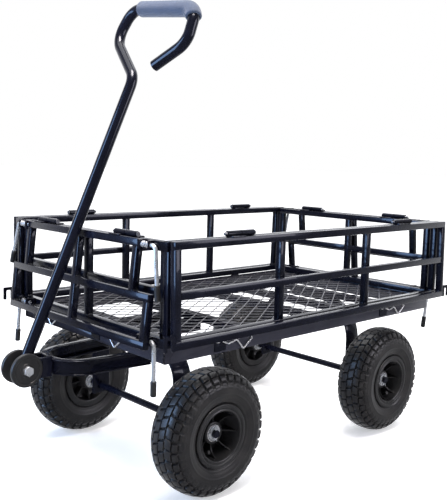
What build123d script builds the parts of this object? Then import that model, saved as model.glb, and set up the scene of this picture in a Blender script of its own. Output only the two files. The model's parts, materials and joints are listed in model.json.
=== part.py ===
from build123d import *
import os
from math import cos, radians, sin, tan

# A four-wheel garden cart with a steel-mesh bed and two-layer folding side panels.
# Millimetres. +X is forward (towards the pull handle), +Y is the cart's left, +Z is up.
# The model is drawn about the centre of the bed, with the ground at z = 0, and is moved
# along X by ORIGIN_X when it is written, so that the frame sits under the middle of its box.

# --- Driving dimensions ---------------------------------------------------------------
BED_HALF_L = 440.0        # bed frame, half length and half width over the skirt
BED_HALF_W = 262.5
SKIRT_LOW = 296.0
SKIRT_TOP = 331.0
SKIRT_T = 3.0
LEDGE_W = 22.0            # inward ledge that carries the mesh
DECK_Z = 325.0
MESH_T = 3.0
DIAMOND_L = 100.0         # expanded mesh, drawn at twice its real pitch and strand width
DIAMOND_W = 70.0
STRAND_W = 5.2
MESH_PLAY = 0.2           # gap between the mesh and the skirt

TUBE = 15.0               # square tube of every wall panel
TUBE_WALL = 1.2
RAIL_LOW_Z = 331.0        # underside of the bottom rail and of the middle rail
RAIL_MID_Z = 421.0
HANGING_LOW_Z = 325.0     # the same two on the hanging end panels, before they lean
HANGING_MID_Z = 412.0
SIDE_TOP_Z = 527.0        # top of the long side walls and of the end walls
END_TOP_Z = 524.0
SIDE_HALF_L = 450.0
SIDE_INNER_Y = 264.5      # inside face of the inner side panel
END_INNER_X = 428.0       # inside face of the inner end panel
END_INNER_HALF = 262.0
END_OUTER_HALF = 252.0    # stepped outer end panel: lower frame and upper frame
END_UPPER_HALF = 204.0
LAYER_GAP = 3.5           # air between the inner and the outer panel at the hinge
SIDE_LEAN = 1.5           # how far the hanging outer panels stand off, in degrees
END_LEAN = 6.5

BARREL_R = 6.0            # panel hinges
BARREL_L = 35.0
BARREL_GAP = 0.5          # each barrel's distance from the middle of its hinge
HINGE_PIN_R = 3.0
HINGE_HEAD_R = 4.8
HINGE_HEAD_T = 1.5
HINGE_HEAD_GAP = 2.0      # from the barrel's end to the pin's head
SPLIT_PIN_OUT = 3.0       # from the barrel's end to the split pin
HINGE_PIN_OUT = 6.0       # from the barrel's end to the pin's free end
SPLIT_PIN_R = 0.95
SPLIT_PIN_HALF = 5.5
SPLIT_HOLE_R = 1.0
HINGE_RISE = 6.0          # hinge axis above the top rail
LEAF_T = 2.5
LEAF_W = 14.0
LEAF_START = 3.0          # from the hinge line to the leaf's near edge
SIDE_HINGE_U = 275.0
END_HINGE_U = 145.0
RUN_FIT = 0.05            # radial running clearance

WHEEL_R = 130.0
WHEEL_W = 85.0
WHEEL_Y = 236.0
FRONT_AXLE_X = 304.0
REAR_AXLE_X = -274.0
AXLE_R = 8.0
AXLE_END_Y = 262.0
AXLE_CHAMFER = 1.5
HUB_OUT = 16.0            # hub's outer and inner ends, from the wheel's middle plane
HUB_IN = 47.0
HUB_R = 23.0
HUB_BORE_R = 10.0
BEARING_R = 17.5
BEARING_W = 11.0
SEAT_SPARE = 1.0          # extra depth of each bearing seat
RIM_R = 53.5
RIM_WALL = 3.5
FLANGE_R = 65.0
FLANGE_Y = 40.0
FLANGE_T = 4.0
WEB_Z = -10.0
WEB_T = 5.0
RIB_COUNT = 8
RIB_T = 3.0
RIB_IN = -30.0            # ribs' inner edge, and their outer edge at the hub and at the rim
RIB_OUT_HUB = 12.0
RIB_OUT_RIM = 32.0
BEAD_FIT = 0.6            # gap between the tyre and the rim's barrel
BEAD_SIDE_FIT = 0.3       # gap between the tyre and the rim's flanges
SIDEWALL_R = 95.0         # tyre section: radius and half width of its named points
SHOULDER = (120.0, 35.0)
SHOULDER_MID = (126.3, 29.0)
CROWN_END = (129.0, 20.0)
TYRE_WALL = 8.0
TUBE_GAP = 0.4
TUBE_SKIN = 1.6

WHEEL_PIN_IN = 4.0        # split pin's distance from the axle's end
WHEEL_PIN_R = 1.5
WHEEL_PIN_HALF = 13.0
WHEEL_PIN_HOLE_R = 1.6
WHEEL_WASHER_R = 14.0
WHEEL_WASHER_T = 2.0
COLLAR_RING_R = 13.0      # collar between each hub and its bracket leg
COLLAR_RING_L = 7.7
END_PLAY = 0.3

STRAP_W = 46.0            # bent flat-bar axle brackets
STRAP_T = 5.0
LEG_Y = 152.5
LEG_LOW_Z = 112.0
FRONT_ARCH_TOP = 271.0
FRONT_ARCH_R = 60.0
REAR_ARCH_TOP = 311.0
REAR_ARCH_R = 98.0

MEMBER_W = 25.0           # deck cross members
MEMBER_LOW_Z = 311.0
MEMBER_X = (362.0, 187.0, -33.0, -148.0, -286.0)

MOUNT_BOLT_R = 4.0        # bolts into the cross members
MOUNT_BOLT_Y = 40.0
MOUNT_BOLT_TOP = 322.0
BOLT_HEAD_R = 7.0
BOLT_HEAD_H = 5.0

TURNTABLE_R = 60.0
WASHER_R = 50.0
PLATE_T = 5.0
WASHER_T = 3.0
WASHER_PLAY = 0.2
KING_PIN_R = 8.0
KING_PIN_LOW_Z = 246.0
KING_NUT_R = 13.0
KING_HEAD_H = 8.0
KING_NUT_H = 13.0
KING_NUT_PLAY = 0.3
BOLSTER_HALF_W = 60.0
BOLSTER_FOOT_W = 32.0

YOKE_CENTRE_X = 462.0     # rounded nose of the draw yoke
YOKE_R = 72.0
YOKE_T = 6.0
YOKE_REAR_X = 281.0
YOKE_REAR_Y = 91.0
YOKE_LOW_Z = 242.0
YOKE_TOP_Z = 266.0
YOKE_FLANGE_W = 16.0
YOKE_FLANGE_T = 3.0
YOKE_FLANGE_X = 336.0
YOKE_FLANGE_LIP = 2.0     # flanges' overhang outside the strap

PIVOT_X = 588.0           # handle pivot
PIVOT_Z = 256.0
DISC_R = 33.5
DISC_IN_Y = 14.5
DISC_OUT_Y = 23.5
DISC_ROUND = 1.5
CLEVIS_LOW_Z = 236.0
CLEVIS_TOP_Z = 276.0
CLEVIS_WEB_T = 6.0
PIVOT_R = 6.0
PIVOT_HEAD_R = 10.0
PIVOT_HEAD_H = 7.5
PIVOT_NUT_H = 8.0
PIVOT_THREAD_END = 10.0   # bolt's end, past the disc
BUSH_R = 14.0
BUSH_PLAY = 0.5           # gap between the bush and each disc
HANDLE_LEAN = 22.0        # shaft leaning back over the front wall, in degrees
HANDLE_PLAY = 3.8         # sideways play of the handle in its clevis, in degrees
HANDLE_R = 11.5
HANDLE_WALL = 2.0
GRIP_R = 16.5
# Corners of the handle's centre line: (sideways, distance along the shaft from the pivot)
SHAFT_TOP = (0.0, 624.0)
BULGE = (-112.5, 711.0)
GRIP_LEFT = (-95.0, 784.0)
GRIP_RIGHT = (119.0, 772.0)
LOOP_LOW = (128.5, 699.0)
LOOP_END = (54.5, 650.0)
HANDLE_BENDS = (42.0, 51.0, 34.0, 36.0, 38.0)
GRIP_START = (-64.0, 782.25)
GRIP_FIT = 0.1
GRIP_PAST_BEND = 1.0      # grip's straight run beyond the bend at GRIP_RIGHT

LATCH_X = 459.0           # spring latches at the eight panel corners
LATCH_TOP_Z = 516.5
LATCH_LOW_Z = 338.5
LATCH_R = 4.0
LATCH_TIP_Y = 205.0
LATCH_BEND_Y = 253.0
LATCH_BEND_R = 10.0
LATCH_DROP = 101.0
# Outward lean of each corner's levers, in degrees: top latch, bottom latch
LATCH_LEANS = {
    ("front", "left"): (5.0, 0.0),
    ("front", "right"): (20.0, 7.0),
    ("rear", "left"): (5.0, -5.0),
    ("rear", "right"): (10.0, 0.0),
}
LATCH_FIT = 0.1
SLEEVE_R = 5.8
SLEEVE_L = 30.0
SLEEVE_END = 5.0          # solid end of the sleeve below the lever
EAR_T = 3.0
EAR_IN_Y = 211.0
EAR_OUT_Y = 238.5
EAR_X = 466.0
EAR_HALF_H = 9.0
KEEPER_Y = 207.5
COLLAR_Y = 216.0
COLLAR_R = 5.8
COLLAR_T = 2.0
SPRING_R = 5.8
SPRING_SOLID = 6.0
SPRING_FIT = 0.5

CLIP_R = 1.5              # zigzag wire clips that hold the panels to the bed
CLIP_BEND_R = 2.0
CLIP_FIT = 0.2
CLIP_TAIL = 10.0          # end of the wire inside the skirt
CLIP_HOLE_Z = 319.0
CLIP_HOLE_R = 1.7
# Corners of a clip: (distance along the wall from its hole, height)
CLIP_ZIGZAG = ((8.0, 321.5), (29.0, 313.0), (51.0, 318.0), (70.0, 297.0), (93.0, 315.0), (91.0, 322.0))
TAB_T = 2.0
TAB_HALF_W = 15.0
TAB_LOW_Z = 300.0
TAB_SHIFT = 8.0           # side tabs' middles, from their clip holes
SIDE_CLIP_X = (312.0, -234.0)
END_CLIP_Y = (-207.0, 35.0)

HOOK_T = 3.0              # corner hooks on the outer side panels
HOOK_TOP_Z = 360.0
HOOK_BAR = 7.0
HOOK_END_X = 475.0

# --- Worked-out dimensions ------------------------------------------------------------
SIDE_HINGE_Y = SIDE_INNER_Y + TUBE + LAYER_GAP / 2
SIDE_HINGE_Z = SIDE_TOP_Z + HINGE_RISE
END_HINGE_X = END_INNER_X + TUBE + LAYER_GAP / 2
END_HINGE_Z = END_TOP_Z + HINGE_RISE
SIDE_OUTER_Y = SIDE_INNER_Y + TUBE + LAYER_GAP
END_OUTER_X = END_INNER_X + TUBE + LAYER_GAP
HINGE_DROP = END_HINGE_Z - HANGING_LOW_Z
PANEL_REACH = END_OUTER_X + TUBE - END_HINGE_X
REAR_END = END_HINGE_X + PANEL_REACH * cos(radians(END_LEAN)) + HINGE_DROP * sin(radians(END_LEAN))
ORIGIN_X = (PIVOT_X + DISC_R - REAR_END) / 2
TURN = {"left": 0, "right": 180, "front": -90, "rear": 90}
SIGN = {"left": 1, "right": -1, "front": 1, "rear": -1}
SIDE_POSTS = (-(SIDE_HALF_L - TUBE / 2) / 3, (SIDE_HALF_L - TUBE / 2) / 3)
WASHER_Z = FRONT_ARCH_TOP + PLATE_T
UPPER_DISC_Z = WASHER_Z + WASHER_T + WASHER_PLAY
BOLSTER_Z = UPPER_DISC_Z + PLATE_T
BEAD_HALF = FLANGE_Y - FLANGE_T - BEAD_SIDE_FIT


# --- Small helpers --------------------------------------------------------------------
def block(low, high):
    """A box between two opposite corners."""
    size = [b - a for a, b in zip(low, high)]
    middle = [(a + b) / 2 for a, b in zip(low, high)]
    return Pos(*middle) * Box(*size)


def rod(start, end, radius):
    """A round bar between two points."""
    line = Vector(*end) - Vector(*start)
    plane = Plane(origin=start, z_dir=line)
    return plane * Cylinder(radius, line.length, align=(Align.CENTER, Align.CENTER, Align.MIN))


def pipe(start, end, radius, bore):
    """A round tube between two points."""
    return rod(start, end, radius) - rod(start, end, bore)


def square_tube(low, high, along):
    """A square tube that fills the box low..high and is open at its two ends."""
    hole_low = [value + TUBE_WALL for value in low]
    hole_high = [value - TUBE_WALL for value in high]
    hole_low[along] = low[along]
    hole_high[along] = high[along]
    return block(low, high) - block(hole_low, hole_high)


def bend_wire(points, radius, bend):
    """A round wire along straight runs joined by tangent arcs."""
    path = FilletPolyline(*points, radius=bend)
    start = Plane(origin=path @ 0, z_dir=path % 0)
    return sweep(start * Circle(radius), path=path)


def turned(shapes, wall):
    """Shapes drawn for the left wall (length on X, outwards on +Y), turned to another wall."""
    return [Rot(0, 0, TURN[wall]) * shape for shape in shapes]


def leaned(shapes, hinge_w, hinge_z, angle):
    """Shapes drawn for the left wall, swung outwards about the wall's hinge line."""
    swing = Pos(0, hinge_w, hinge_z) * Rot(angle, 0, 0) * Pos(0, -hinge_w, -hinge_z)
    return [swing * shape for shape in shapes]


def write(name, shapes):
    """Write one node as parts/NAME.step in the part's own frame."""
    placed = [Pos(-ORIGIN_X, 0, 0) * shape for shape in shapes]
    solids = [solid for shape in placed for solid in shape.solids()]
    export_step(Compound(solids), f"parts/{name}.step")


# --- Bed ------------------------------------------------------------------------------
def clip_anchors():
    """Where each wall's wire clips pass through the skirt: (wall, place along the wall)."""
    anchors = []
    for wall in ("left", "right"):
        anchors += [(wall, SIGN[wall] * x) for x in SIDE_CLIP_X]
    for wall in ("front", "rear"):
        anchors += [(wall, -SIGN[wall] * y) for y in END_CLIP_Y]
    return anchors


def clip_holes(half, walls):
    """Small cross holes through the skirt and the panel tabs of the named walls."""
    holes = []
    for wall, u in clip_anchors():
        if wall in walls:
            hole = rod((u, half - CLIP_TAIL, CLIP_HOLE_Z), (u, half + CLIP_TAIL, CLIP_HOLE_Z), CLIP_HOLE_R)
            holes += turned([hole], wall)
    return holes


def bed_frame():
    """Four angle-section rails: an outer skirt with a ledge inside it for the mesh."""
    inside_l = BED_HALF_L - SKIRT_T
    inside_w = BED_HALF_W - SKIRT_T
    ledge_low = DECK_Z - SKIRT_T
    long_rail = block((-BED_HALF_L, inside_w, SKIRT_LOW), (BED_HALF_L, BED_HALF_W, SKIRT_TOP))
    long_rail += block((-inside_l, inside_w - LEDGE_W, ledge_low), (inside_l, inside_w, DECK_Z))
    end_rail = block((-inside_w, inside_l, SKIRT_LOW), (inside_w, BED_HALF_L, SKIRT_TOP))
    ledge_half = inside_w - LEDGE_W
    end_rail += block((-ledge_half, inside_l - LEDGE_W, ledge_low), (ledge_half, inside_l, DECK_Z))
    side_holes = clip_holes(BED_HALF_W, ("left", "right"))
    end_holes = clip_holes(BED_HALF_L, ("front", "rear"))
    rails = []
    for wall in ("left", "right"):
        rails += [turned([long_rail], wall)[0] - side_holes]
    for wall in ("front", "rear"):
        rails += [turned([end_rail], wall)[0] - end_holes]
    return rails


def deck_mesh():
    """Expanded diamond mesh as one flat sheet with diamond holes."""
    half_l = BED_HALF_L - SKIRT_T - MESH_PLAY
    half_w = BED_HALF_W - SKIRT_T - MESH_PLAY
    slope = Vector(DIAMOND_L, DIAMOND_W)
    long_r = DIAMOND_L / 2 - STRAND_W / 2 * slope.length / DIAMOND_W
    short_r = DIAMOND_W / 2 - STRAND_W / 2 * slope.length / DIAMOND_L
    holes = []
    columns = int(2 * half_l / DIAMOND_L) + 1
    rows = int(2 * half_w / DIAMOND_W) + 1
    for i in range(-columns, columns + 1):
        for j in range(-rows, rows + 1):
            x = i * DIAMOND_L / 2
            y = j * DIAMOND_W / 2
            inside = abs(x) + long_r < half_l - STRAND_W and abs(y) + short_r < half_w - STRAND_W
            if (i + j) % 2 == 0 and inside:
                corners = [(x + long_r, y), (x, y + short_r), (x - long_r, y), (x, y - short_r)]
                holes.append(Wire.make_polygon(corners, close=True))
    edge = Wire.make_rect(2 * half_l, 2 * half_w)
    return [Pos(0, 0, DECK_Z) * extrude(Face(edge, holes), amount=MESH_T, dir=(0, 0, 1))]


def cross_members():
    """Flat box-section bars under the mesh, between the ledges."""
    half = BED_HALF_W - SKIRT_T - LEDGE_W
    bars = []
    for x in MEMBER_X:
        low = (x - MEMBER_W / 2, -half, MEMBER_LOW_Z)
        high = (x + MEMBER_W / 2, half, DECK_Z)
        bars.append(square_tube(low, high, 1) - mount_bolt_holes())
    return bars


def mount_bolt_places():
    """Bolts that hold the bolster and the rear bracket: (x, underside of the joint)."""
    bolster_foot = MEMBER_LOW_Z - PLATE_T
    places = [(x, side * MOUNT_BOLT_Y, bolster_foot) for x in MEMBER_X[:2] for side in (-1, 1)]
    return places + [(MEMBER_X[4], side * MOUNT_BOLT_Y, REAR_ARCH_TOP - STRAP_T) for side in (-1, 1)]


def mount_bolt_holes():
    top = MEMBER_LOW_Z + TUBE_WALL + 1
    return [rod((x, y, z - 1), (x, y, top), MOUNT_BOLT_R + RUN_FIT) for x, y, z in mount_bolt_places()]


def hexagon(radius, height):
    return extrude(RegularPolygon(radius, 6), amount=height)


def mount_bolts():
    """Hexagon bolts through the bolster or the rear bracket into the cross members."""
    bolts = []
    for x, y, z in mount_bolt_places():
        shank = rod((x, y, z), (x, y, MOUNT_BOLT_TOP), MOUNT_BOLT_R)
        bolts.append(shank + Pos(x, y, z - BOLT_HEAD_H) * hexagon(BOLT_HEAD_R, BOLT_HEAD_H))
    return bolts


# --- Wall panels ----------------------------------------------------------------------
def rail(u_low, u_high, inner_w, z):
    """A square tube along a wall, with its underside at z."""
    return square_tube((u_low, inner_w, z), (u_high, inner_w + TUBE, z + TUBE), 0)


def posts(places, inner_w, z_low, z_high):
    """Upright square tubes at the places along a wall."""
    tubes = []
    for u in places:
        low = (u - TUBE / 2, inner_w, z_low)
        tubes.append(square_tube(low, (u + TUBE / 2, inner_w + TUBE, z_high), 2))
    return tubes


def plain_frame(half, inner_w, top_z, middle_posts):
    """Full-length top and bottom rails with end posts and middle posts between them."""
    end = half - TUBE / 2
    tubes = [rail(-half, half, inner_w, z) for z in (RAIL_LOW_Z, top_z - TUBE)]
    return tubes + posts((-end, *middle_posts, end), inner_w, RAIL_LOW_Z + TUBE, top_z - TUBE)


def knuckles(hinge_u, hinge_w, top_z, outwards):
    """Hinge barrels with their leaves, welded to a top rail; inner and outer ones sit side by side."""
    axis_z = top_z + HINGE_RISE
    made = []
    for u in (-hinge_u, hinge_u):
        start = u + BARREL_GAP if outwards > 0 else u - BARREL_GAP - BARREL_L
        end = start + BARREL_L
        leaf_w = sorted(hinge_w + outwards * reach for reach in (LEAF_START, LEAF_START + LEAF_W))
        barrel = rod((start, hinge_w, axis_z), (end, hinge_w, axis_z), BARREL_R)
        leaf = block((start, leaf_w[0], top_z), (end, leaf_w[1], top_z + LEAF_T))
        bore = rod((start - 1, hinge_w, axis_z), (end + 1, hinge_w, axis_z), HINGE_PIN_R + RUN_FIT)
        made.append(barrel + leaf - bore)
    return made


def inner_side_panel(wall):
    """Posts from rail to rail, with no middle rail."""
    shapes = plain_frame(SIDE_HALF_L, SIDE_INNER_Y, SIDE_TOP_Z, SIDE_POSTS)
    shapes += knuckles(SIDE_HINGE_U, SIDE_HINGE_Y, SIDE_TOP_Z, -1)
    return turned(shapes, wall)


def inner_end_panel(wall):
    """One middle post with half a middle rail on each side of it."""
    shapes = plain_frame(END_INNER_HALF, END_INNER_X, END_TOP_Z, (0.0,))
    for side in (-1, 1):
        ends = sorted((side * TUBE / 2, side * (END_INNER_HALF - TUBE)))
        shapes.append(rail(*ends, END_INNER_X, RAIL_MID_Z))
    shapes += knuckles(END_HINGE_U, END_HINGE_X, END_TOP_Z, -1)
    return turned(shapes, wall)


def corner_hook(side):
    """Flat hook on the end of a side panel's bottom corner, open downwards."""
    inner = HOOK_TOP_Z - HOOK_BAR
    root = SIDE_HALF_L + HOOK_BAR
    tip = HOOK_END_X - HOOK_BAR
    pieces = (
        (SIDE_HALF_L, root, RAIL_LOW_Z, HOOK_TOP_Z),
        (root, HOOK_END_X, inner, HOOK_TOP_Z),
        (tip, HOOK_END_X, RAIL_LOW_Z, inner),
    )
    face = SIDE_OUTER_Y + TUBE
    blocks = []
    for near, far, low_z, high_z in pieces:
        ends = sorted((side * near, side * far))
        blocks.append(block((ends[0], face - HOOK_T, low_z), (ends[1], face, high_z)))
    return blocks


def outer_side_panel(wall):
    """A frame with one long middle rail, two corner hooks and no middle posts."""
    shapes = plain_frame(SIDE_HALF_L, SIDE_OUTER_Y, SIDE_TOP_Z, ())
    shapes.append(rail(TUBE - SIDE_HALF_L, SIDE_HALF_L - TUBE, SIDE_OUTER_Y, RAIL_MID_Z))
    shapes += knuckles(SIDE_HINGE_U, SIDE_HINGE_Y, SIDE_TOP_Z, 1)
    for side in (-1, 1):
        shapes += corner_hook(side)
    return turned(leaned(shapes, SIDE_HINGE_Y, SIDE_HINGE_Z, SIDE_LEAN), wall)


def outer_end_panel(wall):
    """A stepped frame: narrow above its middle rail and wide below it."""
    wide = END_OUTER_HALF
    narrow = END_UPPER_HALF
    top_low = END_TOP_Z - TUBE
    shapes = [rail(-wide, wide, END_OUTER_X, z) for z in (HANGING_LOW_Z, HANGING_MID_Z)]
    shapes.append(rail(-narrow, narrow, END_OUTER_X, top_low))
    low_posts = (TUBE / 2 - wide, 0.0, wide - TUBE / 2)
    high_posts = (TUBE / 2 - narrow, 0.0, narrow - TUBE / 2)
    shapes += posts(low_posts, END_OUTER_X, HANGING_LOW_Z + TUBE, HANGING_MID_Z)
    shapes += posts(high_posts, END_OUTER_X, HANGING_MID_Z + TUBE, top_low)
    shapes += knuckles(END_HINGE_U, END_HINGE_X, END_TOP_Z, 1)
    return turned(leaned(shapes, END_HINGE_X, END_HINGE_Z, END_LEAN), wall)


def hinge_places():
    """Every panel hinge: (wall, place along the wall, hinge line outwards, hinge line height)."""
    places = []
    for u in (-1, 1):
        places += [(wall, u * SIDE_HINGE_U, SIDE_HINGE_Y, SIDE_HINGE_Z) for wall in ("left", "right")]
        places += [(wall, u * END_HINGE_U, END_HINGE_X, END_HINGE_Z) for wall in ("front", "rear")]
    return places


def hinge_pins():
    """Headed pins through the hinge barrels, each kept by a split pin across its free end."""
    pins = []
    for wall, u, w, z in hinge_places():
        head_u = u - BARREL_L - HINGE_HEAD_GAP
        split_u = u + BARREL_L + SPLIT_PIN_OUT
        split_ends = ((split_u, w - SPLIT_PIN_HALF, z), (split_u, w + SPLIT_PIN_HALF, z))
        pin = rod((head_u, w, z), (u + BARREL_L + HINGE_PIN_OUT, w, z), HINGE_PIN_R)
        pin += rod((head_u - HINGE_HEAD_T, w, z), (head_u, w, z), HINGE_HEAD_R)
        pins += turned([pin - rod(*split_ends, SPLIT_HOLE_R), rod(*split_ends, SPLIT_PIN_R)], wall)
    return pins


# --- Panel tabs and wire clips --------------------------------------------------------
def panel_tabs():
    """Flat tabs that hang from the inner panels over the bed skirt."""
    tabs = []
    for wall, u in clip_anchors():
        side = wall in ("left", "right")
        face = BED_HALF_W if side else BED_HALF_L
        top = RAIL_LOW_Z + TUBE - TUBE_WALL if side else RAIL_LOW_Z
        centre = u - SIGN[wall] * TAB_SHIFT if side else u
        tab = block((centre - TAB_HALF_W, face, TAB_LOW_Z), (centre + TAB_HALF_W, face + TAB_T, top))
        hole = rod((u, face - 1, CLIP_HOLE_Z), (u, face + TAB_T + 1, CLIP_HOLE_Z), CLIP_HOLE_R)
        tabs += turned([tab - hole], wall)
    return tabs


def wire_clips():
    """Zigzag spring-wire clips, one end through the skirt and the tab."""
    clips = []
    for wall, u in clip_anchors():
        side = wall in ("left", "right")
        face = (BED_HALF_W if side else BED_HALF_L) + TAB_T + CLIP_R + CLIP_FIT
        way = -SIGN[wall] if side else -1
        points = [(u, face - CLIP_TAIL, CLIP_HOLE_Z), (u, face, CLIP_HOLE_Z)]
        points += [(u + way * run, face, z) for run, z in CLIP_ZIGZAG]
        clips += turned([bend_wire(points, CLIP_R, CLIP_BEND_R)], wall)
    return clips


# --- Corner latches -------------------------------------------------------------------
def latch_names():
    """Latch name, end wall, side of the cart, height of the rod and lean of the lever."""
    names = []
    for (end, side), (top_lean, bottom_lean) in LATCH_LEANS.items():
        names.append((f"latch_{end}_{side}_top", end, side, LATCH_TOP_Z, top_lean))
        names.append((f"latch_{end}_{side}_bottom", end, side, LATCH_LOW_Z, bottom_lean))
    return names


def at_corner(shape, end, side):
    """A shape drawn at the front left corner, mirrored to another corner."""
    if end == "rear":
        shape = mirror(shape, about=Plane.YZ)
    if side == "right":
        shape = mirror(shape, about=Plane.XZ)
    return shape


def latch_rod(end, side, z, lean):
    """An L-shaped bolt with a collar, and the soft sleeve on its lever."""
    down = Vector(0, sin(radians(lean)), -cos(radians(lean)))
    bend = Vector(LATCH_X, LATCH_BEND_Y, z)
    lever_end = bend + down * (LATCH_DROP - SLEEVE_END)
    bolt = bend_wire([(LATCH_X, LATCH_TIP_Y, z), bend, lever_end], LATCH_R, LATCH_BEND_R)
    bolt += rod((LATCH_X, COLLAR_Y, z), (LATCH_X, COLLAR_Y + COLLAR_T, z), COLLAR_R)
    sleeve_top = bend + down * (LATCH_DROP - SLEEVE_L)
    sleeve = rod(sleeve_top, bend + down * LATCH_DROP, SLEEVE_R) - rod(sleeve_top, lever_end, LATCH_R)
    return [at_corner(shape, end, side) for shape in (bolt, sleeve)]


def latch_brackets():
    """Two-eared guides on the side panels' end posts, and keeper ears on the end panels."""
    shapes = []
    for _, end, side, z, _ in latch_names():
        low = z - EAR_HALF_H
        high = z + EAR_HALF_H
        guide = block((SIDE_HALF_L, EAR_IN_Y, low), (SIDE_HALF_L + EAR_T, SIDE_INNER_Y + TUBE, high))
        for y in (EAR_IN_Y, EAR_OUT_Y):
            guide += block((SIDE_HALF_L, y, low), (EAR_X, y + EAR_T, high))
        keeper = block((END_INNER_X + TUBE, KEEPER_Y, low), (EAR_X, KEEPER_Y + EAR_T, high))
        bore = rod((LATCH_X, LATCH_TIP_Y, z), (LATCH_X, LATCH_BEND_Y, z), LATCH_R + LATCH_FIT)
        shapes += [at_corner(shape - bore, end, side) for shape in (guide, keeper)]
    return shapes


def latch_springs():
    """The latch springs at the length they take when a latch is drawn fully back."""
    shapes = []
    for _, end, side, z, _ in latch_names():
        start = (LATCH_X, EAR_OUT_Y - SPRING_SOLID, z)
        ring = pipe(start, (LATCH_X, EAR_OUT_Y, z), SPRING_R, LATCH_R + SPRING_FIT)
        shapes.append(at_corner(ring, end, side))
    return shapes


# --- Axle brackets, turntable and axles -----------------------------------------------
def arch(x, top_z, bend_r):
    """Flat bar bent into an arch across the cart, with a hole for the axle in each leg."""
    height = top_z - LEG_LOW_Z
    outer = Pos(0, LEG_LOW_Z + height / 2) * Rectangle(2 * LEG_Y, height)
    outer = fillet(outer.vertices().group_by(Axis.Y)[-1], bend_r)
    inner_h = height - STRAP_T
    inner = Pos(0, LEG_LOW_Z + inner_h / 2) * Rectangle(2 * (LEG_Y - STRAP_T), inner_h)
    inner = fillet(inner.vertices().group_by(Axis.Y)[-1], bend_r - STRAP_T)
    strap = extrude(Plane.YZ * (outer - inner), amount=STRAP_W / 2, both=True)
    strap -= rod((0, -LEG_Y - 1, WHEEL_R), (0, LEG_Y + 1, WHEEL_R), AXLE_R + RUN_FIT)
    return Pos(x, 0, 0) * strap


def rear_axle_bracket():
    return [arch(REAR_AXLE_X, REAR_ARCH_TOP, REAR_ARCH_R) - mount_bolt_holes()]


def front_axle_bracket():
    return [arch(FRONT_AXLE_X, FRONT_ARCH_TOP, FRONT_ARCH_R) - king_pin_hole()]


def king_pin_hole():
    return rod((FRONT_AXLE_X, 0, YOKE_LOW_Z), (FRONT_AXLE_X, 0, DECK_Z), KING_PIN_R + RUN_FIT)


def turntable_disc(low_z, thickness, radius):
    disc = rod((FRONT_AXLE_X, 0, low_z), (FRONT_AXLE_X, 0, low_z + thickness), radius)
    return [disc - king_pin_hole()]


def bolster():
    """Pressed channel that carries the turntable, bolted under two cross members."""
    x_low = MEMBER_X[1] - MEMBER_W / 2
    x_high = MEMBER_X[0] + MEMBER_W / 2
    shape = block((x_low, -BOLSTER_HALF_W, BOLSTER_Z), (x_high, BOLSTER_HALF_W, BOLSTER_Z + PLATE_T))
    for side in (-1, 1):
        wall_y = sorted((side * (BOLSTER_HALF_W - PLATE_T), side * BOLSTER_HALF_W))
        foot_y = sorted((side * (BOLSTER_HALF_W - BOLSTER_FOOT_W), side * BOLSTER_HALF_W))
        shape += block((x_low, wall_y[0], BOLSTER_Z), (x_high, wall_y[1], MEMBER_LOW_Z))
        shape += block((x_low, foot_y[0], MEMBER_LOW_Z - PLATE_T), (x_high, foot_y[1], MEMBER_LOW_Z))
    return [shape - king_pin_hole() - mount_bolt_holes()]


def king_pin():
    """Headed pin fixed to the bolster, with its nut; the steered frame turns about it."""
    top = BOLSTER_Z + PLATE_T
    shank = rod((FRONT_AXLE_X, 0, KING_PIN_LOW_Z), (FRONT_AXLE_X, 0, top), KING_PIN_R)
    head = Pos(FRONT_AXLE_X, 0, top) * hexagon(KING_NUT_R, KING_HEAD_H)
    nut_z = FRONT_ARCH_TOP - STRAP_T - KING_NUT_PLAY - KING_NUT_H
    nut = Pos(FRONT_AXLE_X, 0, nut_z) * hexagon(KING_NUT_R, KING_NUT_H)
    return [shank + head, nut - shank]


def axle(x):
    shaft = rod((x, -AXLE_END_Y, WHEEL_R), (x, AXLE_END_Y, WHEEL_R), AXLE_R)
    for side in (-1, 1):
        y = side * (AXLE_END_Y - WHEEL_PIN_IN)
        shaft -= rod((x, y, WHEEL_R - WHEEL_PIN_HALF), (x, y, WHEEL_R + WHEEL_PIN_HALF), WHEEL_PIN_HOLE_R)
    rims = shaft.edges().filter_by(GeomType.CIRCLE).group_by(Axis.Y)
    return [chamfer(rims[0] + rims[-1], AXLE_CHAMFER)]


def axle_retainers(x):
    """Washers, pinned inner collars and split pins that keep the wheels on an axle."""
    washer_y = WHEEL_Y + HUB_OUT + END_PLAY
    collar_y = WHEEL_Y - HUB_IN - END_PLAY
    bore = AXLE_R + RUN_FIT
    shapes = []
    for side in (-1, 1):
        washer_ends = [(x, side * y, WHEEL_R) for y in (washer_y, washer_y + WHEEL_WASHER_T)]
        collar_ends = [(x, side * y, WHEEL_R) for y in (collar_y - COLLAR_RING_L, collar_y)]
        shapes.append(pipe(*washer_ends, WHEEL_WASHER_R, bore))
        shapes.append(pipe(*collar_ends, COLLAR_RING_R, bore))
        pin_y = side * (AXLE_END_Y - WHEEL_PIN_IN)
        pin_ends = [(x, pin_y, WHEEL_R + reach) for reach in (-WHEEL_PIN_HALF, WHEEL_PIN_HALF)]
        shapes.append(rod(*pin_ends, WHEEL_PIN_R))
    return shapes


# --- Wheels ---------------------------------------------------------------------------
def wheel_place(x, side):
    """Turns a wheel drawn about the Z axis, outer face up, to lie on its axle."""
    return Pos(x, side * WHEEL_Y, WHEEL_R) * Rot(-90 * side, 0, 0)


def ring_of(profile):
    """A solid ring from a closed wire in the XZ plane (X is the radius, Z is outwards)."""
    return revolve(Face(profile), Axis.Z)


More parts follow.
